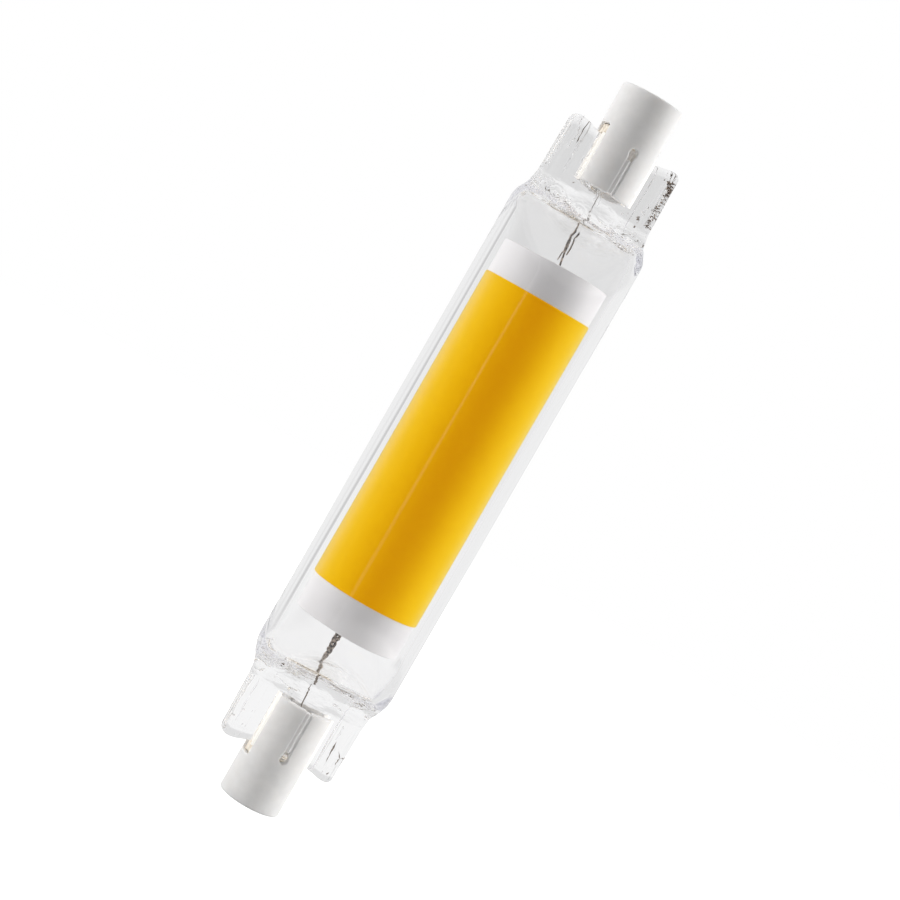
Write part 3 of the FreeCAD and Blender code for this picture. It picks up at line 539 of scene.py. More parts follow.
# Material of the pads in the wide slots: carries the painted glow
toned("slot_painted_glow", (0.84, 0.83, 0.8), (0.88, 0.87, 0.84), 0.6, 1.2, 0.004, glow=SLOT_PAINTED_GLOW)
toned("tube_ceramic", (0.87, 0.85, 0.853), (0.9, 0.88, 0.885), 0.36, 0.8, 0.003)
toned("cement", (0.72, 0.63, 0.52), (0.95, 0.9, 0.8), 0.8, 2.0, 0.03)
toned("contact_metal", (0.6, 0.57, 0.52), (0.78, 0.75, 0.7), 0.3, 2.0, 0.002, metallic=1.0)
toned("lead_wire", (0.012, 0.008, 0.008), (0.5, 0.41, 0.34), 0.34, 5.0, 0.012, metallic=0.3, blend=0.09)
toned("seal_wire", (0.25, 0.2, 0.17), (0.42, 0.36, 0.31), 0.4, 3.0, 0.004, metallic=1.0)
toned("pale_wire", (0.6, 0.58, 0.56), (0.9, 0.88, 0.86), 0.35, 3.0, 0.004, metallic=0.5)
toned("chip", (0.2, 0.26, 0.34), (0.4, 0.46, 0.52), 0.2, 4.0, 0.001)
toned("insulating_disc", (0.8, 0.78, 0.75), (0.88, 0.86, 0.84), 0.6, 1.5, 0.004)
toned("circuit_board", (0.05, 0.2, 0.1), (0.08, 0.27, 0.13), 0.45, 2.0, 0.01)
toned("moulded_package", (0.02, 0.02, 0.02), (0.05, 0.05, 0.05), 0.5, 4.0, 0.004)
toned("resistor_body", (0.25, 0.45, 0.42), (0.35, 0.55, 0.5), 0.4, 2.0, 0.004)
toned("resistor_chip", (0.04, 0.04, 0.05), (0.1, 0.1, 0.11), 0.4, 4.0, 0.003)
toned("capacitor_ceramic", (0.45, 0.34, 0.22), (0.6, 0.48, 0.34), 0.45, 3.0, 0.003)


# Glass: how softly its forms run into each other, and its relief, in millimetres
EDGE_BLEND = 0.3
EAR_BLEND = 1.0
ROOT_BLEND = 0.5
FLOOR_BLEND = 0.6
BOSS_BLEND = (0.4, 0.5)
BOSS_BEYOND = 1.0
RELIEF_REACH = 0.7
RELIEF_FADE = 1.2
MELT_MIDDLE = 13.2
MELT_HALF = 1.1
FOLDS_OUTSIDE = 0.03
FLOW_OUTSIDE = 0.012
FOLDS_INSIDE = 0.05
FLOW_INSIDE = 0.02
STREAK_DEPTH = 0.004
DRIFT_DEPTH = 0.004
press_streaks = waves(11, 0.75, (1.0, 1.0, 7.0))
melt_folds = waves(12, 1.6, (1.5, 1.0, 0.75))
flow_lines = waves(13, 0.55, (6.0, 2.0, 1.0))
tube_drift = waves(14, 6.0, (1.0, 1.0, 3.0))
floor_folds = waves(15, 1.3, (1.2, 1.0, 0.9))

OPENING = (TUBE_RADIUS - WEB_HALF_AT_FOOT) / (SQUEEZE_START - SQUEEZE_FOOT)
SLANT = 1 / math.hypot(1.0, OPENING)


def squeezed_half(height):
    """Half the depth of the squeezed tube: along the web, round a hollow curve, up a slanted side."""
    lean = math.atan(OPENING)
    above = np.maximum(height - SQUEEZE_FOOT + SQUEEZE_ROUND * math.tan(lean / 2), 0.0)
    curve_end = SQUEEZE_ROUND * math.sin(lean)
    on_curve = SQUEEZE_ROUND - np.sqrt(SQUEEZE_ROUND ** 2 - np.minimum(above, curve_end) ** 2)
    return WEB_HALF_AT_FOOT + on_curve + np.maximum(above - curve_end, 0.0) * OPENING


def hump(value, low, high):
    """Smooth step from nought at low to one at high."""
    share = np.clip((value - low) / (high - low), 0.0, 1.0)
    return share * share * (3 - 2 * share)


def bend(x, most):
    """How softly a squeezed side meets the tube: less towards the two ears."""
    return most - (most - BEND_LEAST) * np.minimum((x / TUBE_RADIUS) ** 2, 1.0)


def plain_outside(x, y, height, floor):
    """Tube, shoulder squeezed like a wedge, press with its rims, and boss."""
    share = np.clip((SHOULDER_START - height) / (SHOULDER_START - SHOULDER_FOOT), 0.0, 1.0)
    half_width = TUBE_RADIUS - (TUBE_RADIUS - ROOT_HALF_WIDTH) * (1 - np.cos(math.pi / 2 * share))
    squeezed = (np.abs(y) - squeezed_half(height - floor + FLOOR_MIDDLE)) * SLANT
    bulb = smooth_max(oval(x, y, half_width, TUBE_RADIUS), squeezed, bend(x, BEND_OUTSIDE))
    bulb = smooth_max(bulb, SHOULDER_FOOT - height, EDGE_BLEND)
    across = np.abs(x)
    narrowing = (ROOT_HALF_WIDTH - TIP_HALF_WIDTH) * (PRESS_ROOT - height) / (PRESS_ROOT - EAR_TIP)
    half = ROOT_HALF_WIDTH - narrowing
    swell = hump(across, *RIM_SWELL) * (RIM_HALF - WEB_HALF - RIM_STEP)
    swell = swell + hump(across, *RIM_EDGE) * RIM_STEP
    section = smooth_max(np.abs(y) - WEB_HALF - swell, across - half, RIM_ROUND)
    ear_end = PRESS_END - (across - CAP_RADIUS) * (PRESS_END - EAR_TIP) / (TIP_HALF_WIDTH - CAP_RADIUS)
    press = smooth_max(section, ear_end - height, EAR_BLEND)
    press = smooth_max(press, height - PRESS_ROOT, ROOT_BLEND)
    flattened = hump(height, *BOSS_FLATTENED)
    depth = BOSS_RADIUS - flattened * BOSS_SHALLOWER
    boss = smooth_max(oval(x, y, BOSS_RADIUS, depth), PRESS_END - height, EDGE_BLEND)
    boss = np.maximum(boss, height - PRESS_ROOT - BOSS_BEYOND)
    blend = BOSS_BLEND[0] + BOSS_BLEND[1] * flattened
    return smooth_min(smooth_min(bulb, press, ROOT_BLEND), boss, blend)


def plain_inside(x, y, height, floor):
    """Gas space: bore, squeezed to a narrow trough that runs right across."""
    side = WEB_HALF_AT_FOOT + (height - floor + FLOOR_MIDDLE - SQUEEZE_FOOT) * OPENING
    squeezed = (np.abs(y) - side) * SLANT + SIDE_WALL
    space = smooth_max(np.hypot(x, y) - BORE_RADIUS, squeezed, bend(x, BEND_INSIDE))
    return smooth_max(space, floor - height, FLOOR_BLEND)


def glass_field(x, y, z):
    height = np.minimum(z, LENGTH - z)
    floor = np.where(z < LENGTH / 2, FLOOR_LOWER, FLOOR_UPPER)
    outside = plain_outside(x, y, height, floor)
    inside = plain_inside(x, y, height, floor)
    near = np.minimum(np.abs(outside), np.abs(inside)) < RELIEF_REACH
    px, py, pz, ph = x[near], y[near], z[near], height[near]
    in_press = np.clip((PRESS_ROOT - ph) / RELIEF_FADE, 0.0, 1.0)
    in_melt = np.exp(-((ph - MELT_MIDDLE) / MELT_HALF) ** 2)
    flow = flow_lines(px, py, pz)
    relief = STREAK_DEPTH * in_press * press_streaks(px, py, pz)
    relief += in_melt * (FOLDS_OUTSIDE * melt_folds(px, py, pz) + FLOW_OUTSIDE * flow)
    outside[near] += relief + DRIFT_DEPTH * tube_drift(px, py, pz)
    relief = in_melt * (FOLDS_INSIDE * floor_folds(px, py, pz) + FLOW_INSIDE * flow)
    inside[near] += relief + DRIFT_DEPTH * tube_drift(py, px, pz)
    return np.maximum(outside, -inside)


def bubble(centre, radius, half_length, lean, segments, rings):
    """Small drawn-out void: its faces point inward, because the glass is outside it."""
    centre = np.array(centre)
    drawn = np.array([*lean, half_length])
    points = []
    for ring in range(1, rings):
        angle = math.pi * ring / rings
        wide = radius * math.sin(angle)
        for cos, sin in circle(segments):
            points.append(centre + wide * np.array([cos, sin, 0.0]) + drawn * -math.cos(angle))
    low, high = len(points), len(points) + 1
    points += [centre - drawn, centre + drawn]
    last = (rings - 2) * segments
    faces = []
    for first in range(0, last, segments):
        second = first + segments
        for step in range(segments):
            beside = (step + 1) % segments
            faces.append((first + step, second + step, second + beside, first + beside))
    for step in range(segments):
        beside = (step + 1) % segments
        faces += [(low, step, beside), (high, last + beside, last + step)]
    return np.array(points), faces


# Flaws in the pressed glass, and painted shade in it, as (across, height) from their own end of the lamp
# Drawn-out voids: radius, corners
VOID_THREADS = {"upper": [
    (0.06, [(-4.47, 6.6), (-4.5, 8.6), (-4.45, 10.6)]),
    (0.07, [(-5.19, 4.8), (-5.29, 5.3), (-5.04, 6.0), (-4.89, 6.9), (-5.09, 8.1), (-5.0, 8.5)]),
    (0.05, [(-5.62, 5.6), (-5.65, 8.0), (-5.6, 11.0)]),
    (0.05, [(5.36, 6.3), (5.38, 8.6), (5.42, 11.0)]),
    (0.07, [(5.62, 6.3), (5.66, 8.8), (5.74, 11.0)]),
    (0.13, [(4.89, 8.6), (4.8, 9.5), (4.69, 10.3)]),
    (0.08, [(-4.4, 11.4), (-5.2, 11.7), (-5.6, 12.3), (-5.4, 12.9), (-4.9, 13.4), (-4.2, 13.55)]),
    (0.07, [(-4.5, 11.8), (-5.0, 12.1), (-5.1, 12.5), (-4.6, 13.0), (-3.8, 13.2)]),
    (0.05, [(-4.3, 12.1), (-4.7, 12.3), (-4.6, 12.7), (-4.0, 12.95), (-3.2, 12.8), (-2.2, 12.3)]),
    (0.07, [(3.6, 12.2), (3.0, 12.4), (2.8, 12.8), (3.0, 13.2), (3.5, 13.4)]),
    (0.06, [(0.35, 9.9), (0.3, 10.8), (0.4, 11.6)]),
    (0.06, [(-0.3, 9.9), (-0.28, 10.8), (-0.3, 11.4)]),
    (0.07, [(-6.7, 14.3), (-6.95, 14.6), (-6.95, 15.3), (-6.75, 15.6), (-6.5, 15.3), (-6.5, 14.7)]),
], "lower": [
    (0.1, [(-4.5, 14.3), (-5.0, 14.25), (-5.36, 13.9), (-5.36, 13.3), (-5.15, 12.9), (-4.85, 12.5)]),
    (0.05, [(-4.5, 11.8), (-3.9, 12.1), (-3.1, 11.9), (-2.0, 11.7), (-0.9, 11.9)]),
    (0.1, [(2.2, 12.2), (2.9, 12.1), (3.7, 11.95)]),
    (0.06, [(-6.2, 12.0), (-5.6, 11.95), (-5.1, 12.05)]),
    (0.04, [(-1.84, 13.27), (-1.4, 13.3), (-1.0, 13.1), (-0.68, 13.1)]),
    (0.06, [(4.55, 9.2), (4.6, 10.0), (4.58, 10.8)]),
    (0.05, [(-5.95, 5.6), (-5.95, 8.0), (-5.9, 11.5)]),
    (0.07, [(-5.55, 5.6), (-5.6, 8.6), (-5.5, 11.5)]),
    (0.04, [(-5.2, 6.6), (-5.25, 9.2), (-5.2, 11.3)]),
    (0.04, [(-3.1, 5.9), (-3.15, 8.2), (-3.1, 10.3)]),
    (0.04, [(5.9, 7.2), (5.95, 9.0), (5.9, 11.0)]),
    (0.04, [(4.1, 6.0), (4.1, 8.2), (4.15, 11.0)]),
]}
# Single bubbles: across, height, radius, half length
BUBBLES = {"upper": [
    (-3.12, 5.86, 0.17, 0.28), (-3.2, 6.9, 0.1, 0.3), (-3.0, 7.9, 0.12, 0.2),
    (-3.25, 8.5, 0.13, 0.3), (-3.0, 9.3, 0.09, 0.22), (-3.1, 10.0, 0.12, 0.2),
    (2.92, 10.9, 0.1, 0.12), (3.5, 10.7, 0.08, 0.2), (5.1, 12.0, 0.12, 0.1),
], "lower": [
    (-2.5, 14.1, 0.16, 0.16), (-2.1, 14.1, 0.08, 0.08), (-2.0, 13.3, 0.14, 0.1),
    (-5.05, 7.9, 0.07, 0.1), (-5.17, 6.9, 0.08, 0.12), (-4.56, 6.5, 0.07, 0.1),
    (-5.7, 5.7, 0.17, 0.17), (-5.65, 5.3, 0.13, 0.13), (-3.55, 5.65, 0.14, 0.1),
    (-3.13, 10.3, 0.06, 0.07), (-3.13, 9.7, 0.06, 0.1), (-3.1, 8.5, 0.05, 0.08),
    (-3.1, 7.2, 0.09, 0.16), (-4.33, 8.2, 0.05, 0.2), (4.6, 12.3, 0.14, 0.1),
]}
# Dark threads of painted shade, standing for the dark look of cracks in the press: radius, corners
DARK_THREADS = {"upper": [
    (0.035, [(-4.6, 5.1), (-4.58, 6.3), (-4.55, 7.5)]),
    (0.04, [(-5.24, 12.2), (-4.6, 12.7), (-4.0, 12.9), (-3.2, 12.75)]),
    (0.03, [(3.6, 12.3), (4.1, 12.6), (4.4, 12.35), (4.9, 12.7), (5.3, 12.4), (5.9, 12.6)]),
    (0.035, [(3.9, 13.0), (4.5, 13.3), (5.2, 13.6)]),
    (0.07, [(5.9, 12.3), (6.3, 12.8), (6.75, 13.5)]),
    (0.03, [(5.55, 5.2), (5.58, 5.6), (5.62, 6.1)]),
], "lower": [
    (0.025, [(-4.8, 14.2), (-4.1, 14.4), (-3.1, 14.25)]),
    (0.02, [(0.2, 14.4), (2.2, 14.42), (4.0, 14.4), (5.9, 14.5)]),
    (0.02, [(1.8, 14.2), (3.0, 14.22), (4.2, 14.15)]),
    (0.04, [(4.1, 13.57), (4.9, 13.8), (5.8, 14.1)]),
    (0.045, [(3.7, 12.9), (4.6, 13.05), (5.2, 13.35), (5.8, 13.65), (6.5, 14.0)]),
    (0.035, [(-6.0, 13.2), (-5.5, 12.9), (-5.0, 12.5)]),
    (0.03, [(4.69, 9.1), (4.7, 8.5), (4.72, 7.6), (4.8, 6.3)]),
    (0.07, [(4.7, 8.7), (4.72, 8.35), (4.7, 8.0)]),
    (0.03, [(5.36, 8.3), (5.55, 8.0), (5.66, 7.7), (5.6, 6.9)]),
    (0.03, [(5.92, 8.2), (5.8, 7.95), (5.68, 7.75)]),
    (0.025, [(5.8, 10.15), (6.0, 10.05), (6.1, 9.8)]),
    (0.03, [(5.5, 6.0), (5.45, 5.85), (5.4, 5.7)]),
]}
# Dark grains of the same painted shade along a line: how many, size, spread, corners
DARK_GRAINS = {"upper": [
    (10, 0.04, 0.03, [(5.35, 5.2), (5.4, 5.9)]),
    (60, 0.07, 0.09, [(5.45, 6.0), (5.65, 6.5), (5.8, 7.2)]),
    (90, 0.05, 0.1, [(5.75, 7.2), (5.6, 8.6), (5.6, 10.9)]),
    (8, 0.07, 0.1, [(6.0, 10.7), (6.15, 11.0)]),
    (5, 0.06, 0.08, [(4.5, 10.3), (4.8, 10.6), (4.7, 11.4)]),
    (3, 0.06, 0.05, [(-2.97, 10.7), (-2.9, 10.8)]),
    (4, 0.07, 0.08, [(-2.7, 13.1), (-2.3, 13.2)]),
], "lower": [
    (7, 0.08, 0.1, [(-4.25, 13.6), (-4.0, 13.75)]),
    (8, 0.05, 0.16, [(2.6, 13.9), (3.7, 14.1)]),
    (3, 0.05, 0.04, [(-2.1, 13.3), (-1.95, 13.3)]),
    (4, 0.04, 0.03, [(5.85, 10.8), (5.88, 10.3)]),
    (3, 0.05, 0.03, [(6.05, 7.4), (6.05, 7.0)]),
    (4, 0.04, 0.05, [(4.1, 5.6), (4.2, 5.65)]),
]}

# How far flaws lie from the middle depth and lean, in millimetres, and sides and rings of the small ones
THREAD_DEPTH = 0.35
BUBBLE_DEPTH = 0.3
GRAIN_DEPTH = 0.2
BUBBLE_LEAN = 0.04
GRAIN_LEAN = 0.05
BUBBLE_SIDES = (10, 9)
GRAIN_SIDES = (7, 6)
THREAD_SIDES = 8
# Waver and beads of a thread, as shares of its radius, and how often they come
THREAD_WAVER = 0.35
WAVER_TURNS = 3.1
THREAD_BEADS = 0.3
BEAD_TURNS = 2.3
GRAIN_PATH = 40


def flaw_thread(draw, radius, corners):
    """Thin bar along corners with a small waver, beaded and drawn to a point at both ends."""
    count = 12 + 4 * len(corners)
    depth = draw.uniform(-THREAD_DEPTH, THREAD_DEPTH)
    path = smooth_path([(across, depth, height) for across, height in corners], count)
    shares = np.linspace(0.0, 1.0, count)

    def wavering(turns):
        return np.sin(2 * math.pi * (turns * shares * len(corners) / 3 + draw.uniform()))

    for axis in (0, 1):
        path[:, axis] += THREAD_WAVER * radius * wavering(WAVER_TURNS)
    beads = 1 + THREAD_BEADS * wavering(BEAD_TURNS)
    ends = np.clip(np.minimum(shares, 1 - shares) * 7, 0.12, 1.0)
    return sweep(path, radius * beads * ends, THREAD_SIDES)


def threads(draw, table):
    """The threads of a table, placed at their ends of the lamp."""
    parts = []
    for end, rows in table.items():
        for radius, corners in rows:
            points, faces = flaw_thread(draw, radius, corners)
            parts.append((placed_at(end, points), faces))
    return parts


def turned_inside_out(faces):
    return [tuple(face)[::-1] for face in faces]


def glass_voids():
    """Threads and bubbles of gas in the pressed glass."""
    draw = np.random.default_rng(31)
    parts = [(points, turned_inside_out(faces)) for points, faces in threads(draw, VOID_THREADS)]
    for end, rows in BUBBLES.items():
        for across, height, radius, half_length in rows:
            lean = draw.normal(size=2) * BUBBLE_LEAN
            place = (across, draw.uniform(-BUBBLE_DEPTH, BUBBLE_DEPTH), height)
            points, faces = bubble(place, radius, half_length, lean, *BUBBLE_SIDES)
            parts.append((placed_at(end, points), faces))
    return joined(parts)


def make_painted_shade_marks():
    """Dark threads and grains in the pressed glass: painted shade of its cracks."""
    draw = np.random.default_rng(32)
    # Painted shade: dark solids where the cracks in the press look dark
    parts = threads(draw, DARK_THREADS)
    for end, rows in DARK_GRAINS.items():
        for count, size, spread, corners in rows:
            path = smooth_path([(across, 0.0, height) for across, height in corners], GRAIN_PATH)
            spreads = np.array([spread, GRAIN_DEPTH, spread / 2])
            for _ in range(count):
                place = path[draw.integers(GRAIN_PATH)] + draw.normal(size=3) * spreads
                grain = size * draw.uniform(0.4, 1.3)
                lean = draw.normal(size=2) * GRAIN_LEAN
                points, faces = bubble(place, grain, grain * draw.uniform(0.8, 2.2), lean, *GRAIN_SIDES)
                parts.append((placed_at(end, points), turned_inside_out(faces)))
    piece("painted_shade_marks", "seal_wire", (), *joined(parts))


# Grid of the glass: reach, then heights from an end as start, stop, step, then the step between them
GLASS_REACH = 7.35
GLASS_STEP = 0.16
GLASS_HEIGHTS = [(4.5, 5.2, 0.12), (5.2, 15.2, GLASS_STEP), (15.2, 18.8, 0.28)]
TUBE_STEP = 2.0


def make_glass():
    xs = steps((-GLASS_REACH, GLASS_REACH, GLASS_STEP))
    falling = [(LENGTH - high, LENGTH - low, step) for low, high, step in reversed(GLASS_HEIGHTS)]
    zs = steps(*GLASS_HEIGHTS, (GLASS_HEIGHTS[-1][1], falling[0][0], TUBE_STEP), *falling)
    points, faces, normals = skin(glass_field, xs, xs, zs)
    whole = joined([(points, faces), glass_voids()])
    made = piece("glass_skin", "clear_glass", ["glass_envelope"], *whole)
    void_normals = np.array([vertex.normal for vertex in list(made.data.vertices)[len(points):]])
    made.data.normals_split_custom_set_from_vertices(np.concatenate([normals, void_normals]).tolist())


# Caps
WIDE_SLOT_HALF = 1.3
WIDE_SLOT_END = 4.3
NARROW_SLOT_HALF = 0.29
SLOT_EYE_HEIGHT = 5.8
SLOT_EYE_RADIUS = 0.41
SLOT_EYE_STRETCH = 1.25
CAP_BORE = 2.35
RECESS_RADIUS = 1.9
CAP_FLOOR = 3.3
CONTACT_SEAT = 2.5
CAP_EDGE = 0.16
CUT_EDGE = 0.14
SLOT_CORNER = 0.3
# White filler in the narrow slots, and the pads with a painted glow in the wide ones
FILL_START = 6.5
FILL_REACH = 3.02
FILL_DEPTH = 2.2
FILL_BEYOND_SLOT = 0.02
FILL_BELOW_RIM = 0.12
RIDGE_HALF = 0.13
RIDGE_HEIGHT = 0.16
GLOW_PAD_REACH = 3.08
GLOW_PAD_INSET = 0.05


def cap_field(length):
    """Field of a cap of that length, seen from its own end."""

    def field(x, y, z):
        reach = np.hypot(x, y)
        body = round_box(reach, z - length / 2, CAP_RADIUS, length / 2, CAP_EDGE)
        bore = np.maximum(reach - CAP_BORE, CAP_FLOOR - z)
        recess = np.maximum(reach - RECESS_RADIUS, z - CONTACT_FACE)
        seat = np.maximum(reach - CONTACT_RADIUS, z - CONTACT_SEAT)
        hollow = np.minimum(np.minimum(bore, recess), seat)
        shape = smooth_max(body, -hollow, CUT_EDGE)
        wide = smooth_max(np.abs(y) - WIDE_SLOT_HALF, WIDE_SLOT_END - z, SLOT_CORNER)
        shape = smooth_max(shape, -wide, CUT_EDGE)
        slot = np.maximum(np.abs(x) - NARROW_SLOT_HALF, SLOT_EYE_HEIGHT - z)
        eye = np.hypot(x, (z - SLOT_EYE_HEIGHT) / SLOT_EYE_STRETCH) - SLOT_EYE_RADIUS
        return smooth_max(shape, -smooth_min(slot, eye, 0.1), CAP_EDGE)

    return field


def fill_field(length):
    """White filler in a narrow slot, with a raised line along its middle."""

    def field(x, y, z):
        strip = np.maximum(np.abs(x) - NARROW_SLOT_HALF - FILL_BEYOND_SLOT, FILL_DEPTH + y)
        outer = -y - FILL_REACH - RIDGE_HEIGHT * np.exp(-(x / RIDGE_HALF) ** 2)
        ends = smooth_max(FILL_START - z, z - length + FILL_BELOW_RIM, 0.1)
        return smooth_max(smooth_max(strip, outer, 0.05), ends, 0.2)

    return field


def make_caps():
    xs = steps((-3.4, -0.7, 0.12), (-0.7, 0.7, 0.07), (0.7, 3.4, 0.12))
    ys = steps((-3.4, 3.4, 0.11))
    across = steps((-0.42, 0.42, 0.035))
    through = steps((-3.4, -2.05, 0.05))
    for end, length in CAP_LENGTHS.items():
        zs = steps((-0.15, 0.45, 0.06), (0.45, 1.3, 0.2), (1.3, 1.8, 0.08), (1.8, 3.9, 0.3),
                   (3.9, 6.6, 0.09), (6.6, length - 0.4, 0.35), (length - 0.4, length + 0.15, 0.06))
        cap = skin(cap_field(length), xs, ys, zs)
        end_piece(end, "ceramic_cap_skin_%s", "cap_ceramic", ["ceramic_cap_%s"], *cap)
        along = steps((FILL_START - 0.3, FILL_START + 0.4, 0.07), (FILL_START + 0.4, length - 0.3, 0.3),
                      (length - 0.3, length + 0.05, 0.07))
        points, faces, normals = skin(fill_field(length), across, through, along)
        for side, turned in (("front", (1.0, 1.0, 1.0)), ("back", (-1.0, -1.0, 1.0))):
            turned = np.array(turned)
            end_piece(end, "slot_fill_%s_" + side, "cap_ceramic", (), points * turned, faces,
                      normals * turned, "slot_filler")
        make_glow_pads(end, length)


def make_glow_pads(end, length):
    """Thin white pads on the walls of the wide slots, whose painted glow stands in for the light that
    comes through the ceramic.
    """
    inner, outer = WEB_HALF + GLOW_PAD_INSET, WIDE_SLOT_HALF
    plain = [(across, through, height) for height in (PRESS_END - 0.1, length - 0.05)
             for across in (CAP_BORE, GLOW_PAD_REACH) for through in (inner, outer)]
    box = [(0, 1, 3, 2), (4, 6, 7, 5), (0, 4, 5, 1), (2, 3, 7, 6), (0, 2, 6, 4), (1, 5, 7, 3)]
    parts = []
    for side in (-1.0, 1.0):
        for wall in (-1.0, 1.0):
            faces = box if side * wall > 0 else [face[::-1] for face in box]
            parts.append((np.array(plain) * (side, wall, 1.0), faces))
    end_piece(end, "glow_pad_%s", "cap_ceramic", (), *joined(parts), look="slot_painted_glow")


# Contacts: face, shank and riveted collar, and the pinhole on the axis
CONTACT_EDGE = 0.28
CONTACT_CORNER = 0.3
CONTACT_DOME = 0.03
CONTACT_DIMPLE = 0.04
SHANK_RADIUS = 0.75
RIVET_RADIUS = 1.15
RIVET_HEIGHTS = (0.2, 0.25)
PINHOLE = 0.02


def make_contacts():
    """Turned contact with a domed face, its shank and riveted collar."""
    profile = [(PINHOLE, CONTACT_FACE + CONTACT_DIMPLE)]
    for share in np.arange(1, 8) / 8:
        out = share * (CONTACT_RADIUS - CONTACT_EDGE)
        profile.append((out, CONTACT_FACE + CONTACT_DOME * share * share))
    corner = (CONTACT_RADIUS - CONTACT_CORNER, CONTACT_FACE + CONTACT_CORNER)
    profile += arc(corner, CONTACT_EDGE, -90, 0)
    profile += [(CONTACT_RADIUS, CONTACT_SEAT), (SHANK_RADIUS, CONTACT_SEAT), (SHANK_RADIUS, CAP_FLOOR)]
    profile += [(RIVET_RADIUS, CAP_FLOOR), (RIVET_RADIUS, CAP_FLOOR + RIVET_HEIGHTS[0])]
    profile += [(SHANK_RADIUS, CAP_FLOOR + RIVET_HEIGHTS[1]), (SHANK_RADIUS, CONTACT_END)]
    profile += [(PINHOLE, CONTACT_END)]
    points, faces = lathe(profile[::-1], 64)
    faces = turned_inside_out(faces)
    for end in ENDS:
        end_piece(end, "contact_%s", "contact_metal", ["contact_stud_%s"], points, faces)


CEMENT_REACH = 2.85
CEMENT_LUMPS = 0.05
cement_lumps = waves(21, 0.6)


def cement_field(x, y, z):
    reach = np.hypot(x, y)
    plug = np.maximum(reach - CAP_BORE, np.maximum(CONTACT_END - z, z - PRESS_END))
    tongue = np.maximum(reach - CEMENT_REACH, np.abs(y) - WIDE_SLOT_HALF)
    tongue = np.maximum(tongue, np.maximum(WIDE_SLOT_END - z, z - PRESS_END))
    return smooth_min(plug, tongue, 0.1) + CEMENT_LUMPS + CEMENT_LUMPS * cement_lumps(x, y, z)


def make_cement():
    across = steps((-3.1, 3.1, 0.12))
    plug = skin(cement_field, across, across, steps((3.7, 5.6, 0.1)))
    for end in ENDS:
        end_piece(end, "cement_fill_%s", "cement", ["cap_cement_%s"], *plug)


# Wires: paths of (across, through, height) from their own end of the lamp
WIRE_SIDES = 10
WIRE_STEPS = 40


def smooth_path(corners, count):
    """Evenly spaced points on a smooth curve through corners."""
    corners = np.asarray(corners, float)
    gaps = np.linalg.norm(np.diff(corners, axis=0), axis=1)
    places = np.concatenate([[0.0], np.cumsum(gaps)])
    wanted = np.linspace(0.0, places[-1], count)
    path = np.stack([np.interp(wanted, places, corners[:, axis]) for axis in range(3)], axis=1)
    for _ in range(max(2, count // 12)):
        path[1:-1] = 0.25 * path[:-2] + 0.5 * path[1:-1] + 0.25 * path[2:]
    return path


def twisted(core, strands, radius, reaches, turns, start=0.0):
    """Strands that wind round a core path, at a reach that changes from one end to the other."""
    shares = np.linspace(0.0, 1.0, len(core))
    reach = np.interp(shares, np.linspace(0.0, 1.0, len(reaches)), reaches)
    parts = []
    for number in range(strands):
        angle = start + 2 * math.pi * (number / strands + turns * shares)
        path = core + np.stack([reach * np.cos(angle), reach * np.sin(angle), 0 * shares], axis=1)
        parts.append(sweep(path, np.full(len(path), radius), WIRE_SIDES))
    return parts


def tapered(corners, radius, ends=(0.6, 0.6)):
    """Plain wire along corners, a little thinner at its two ends."""
    shares = np.linspace(0, 1, WIRE_STEPS)
    radii = radius * np.interp(shares, [0, 0.12, 0.88, 1], [ends[0], 1, 1, ends[1]])
    return [sweep(smooth_path(corners, WIRE_STEPS), radii, WIRE_SIDES)]


def lower_lead(deep):
    core = smooth_path([(-0.6, 0, 14.85), (-0.56, 0, 16.2), (-0.5, 0, 17.6), (-0.44, 0, 18.8)], 90)
    parts = twisted(core, 2, 0.14, (0.05, 0.14, 0.2, 0.2), 1.6, 0.4)
    parts += twisted(core[12:], 1, 0.1, (0.2, 0.26, 0.27), -1.3, 2.0)
    parts += twisted(core[30:], 2, 0.07, (0.24, 0.3), 1.9, 1.2)
    parts += tapered([(-0.3, 0, 18.6), (0.1, 0, 19.3), (0.39, 0, 20.0), (0.39, 0, deep)], 0.14)
    return parts


def upper_lead(deep):
    parts = tapered([(-0.32, 0, 14.25), (-0.3, 0, 14.8), (-0.26, 0, 15.6)], 0.085, (1.3, 0.8))
    core = smooth_path([(-0.26, 0, 15.0), (-0.18, 0, 15.9), (-0.08, 0, 16.7)], 60)
    parts += twisted(core, 6, 0.055, (0.03, 0.1, 0.12, 0.08), -1.3)
    parts += tapered([(-0.12, 0.05, 16.4), (-0.26, 0.05, 16.9), (-0.28, 0.05, 17.7)], 0.06)
    parts += tapered([(-0.08, -0.03, 16.5), (0.06, -0.03, 17.2), (0.2, 0, 18.0), (0.3, 0, 18.6)], 0.1)
    parts += tapered([(0.1, 0.1, 15.1), (0.2, 0.1, 15.5), (0.25, 0.1, 16.3), (0.22, 0.1, 16.9)], 0.085)
    parts += tapered([(0.24, 0, 18.4), (0.39, 0, 19.3), (0.39, 0, deep)], 0.12)
    return parts


def make_leads():
    for end, build in (("lower", lower_lead), ("upper", upper_lead)):
        low, high = span("board_lead_" + end)
        deep = high.z if end == "lower" else LENGTH - low.z
        end_piece(end, "twisted_lead_%s", "lead_wire", ["inner_lead_%s", "board_lead_%s"],
                  *joined(build(deep)))


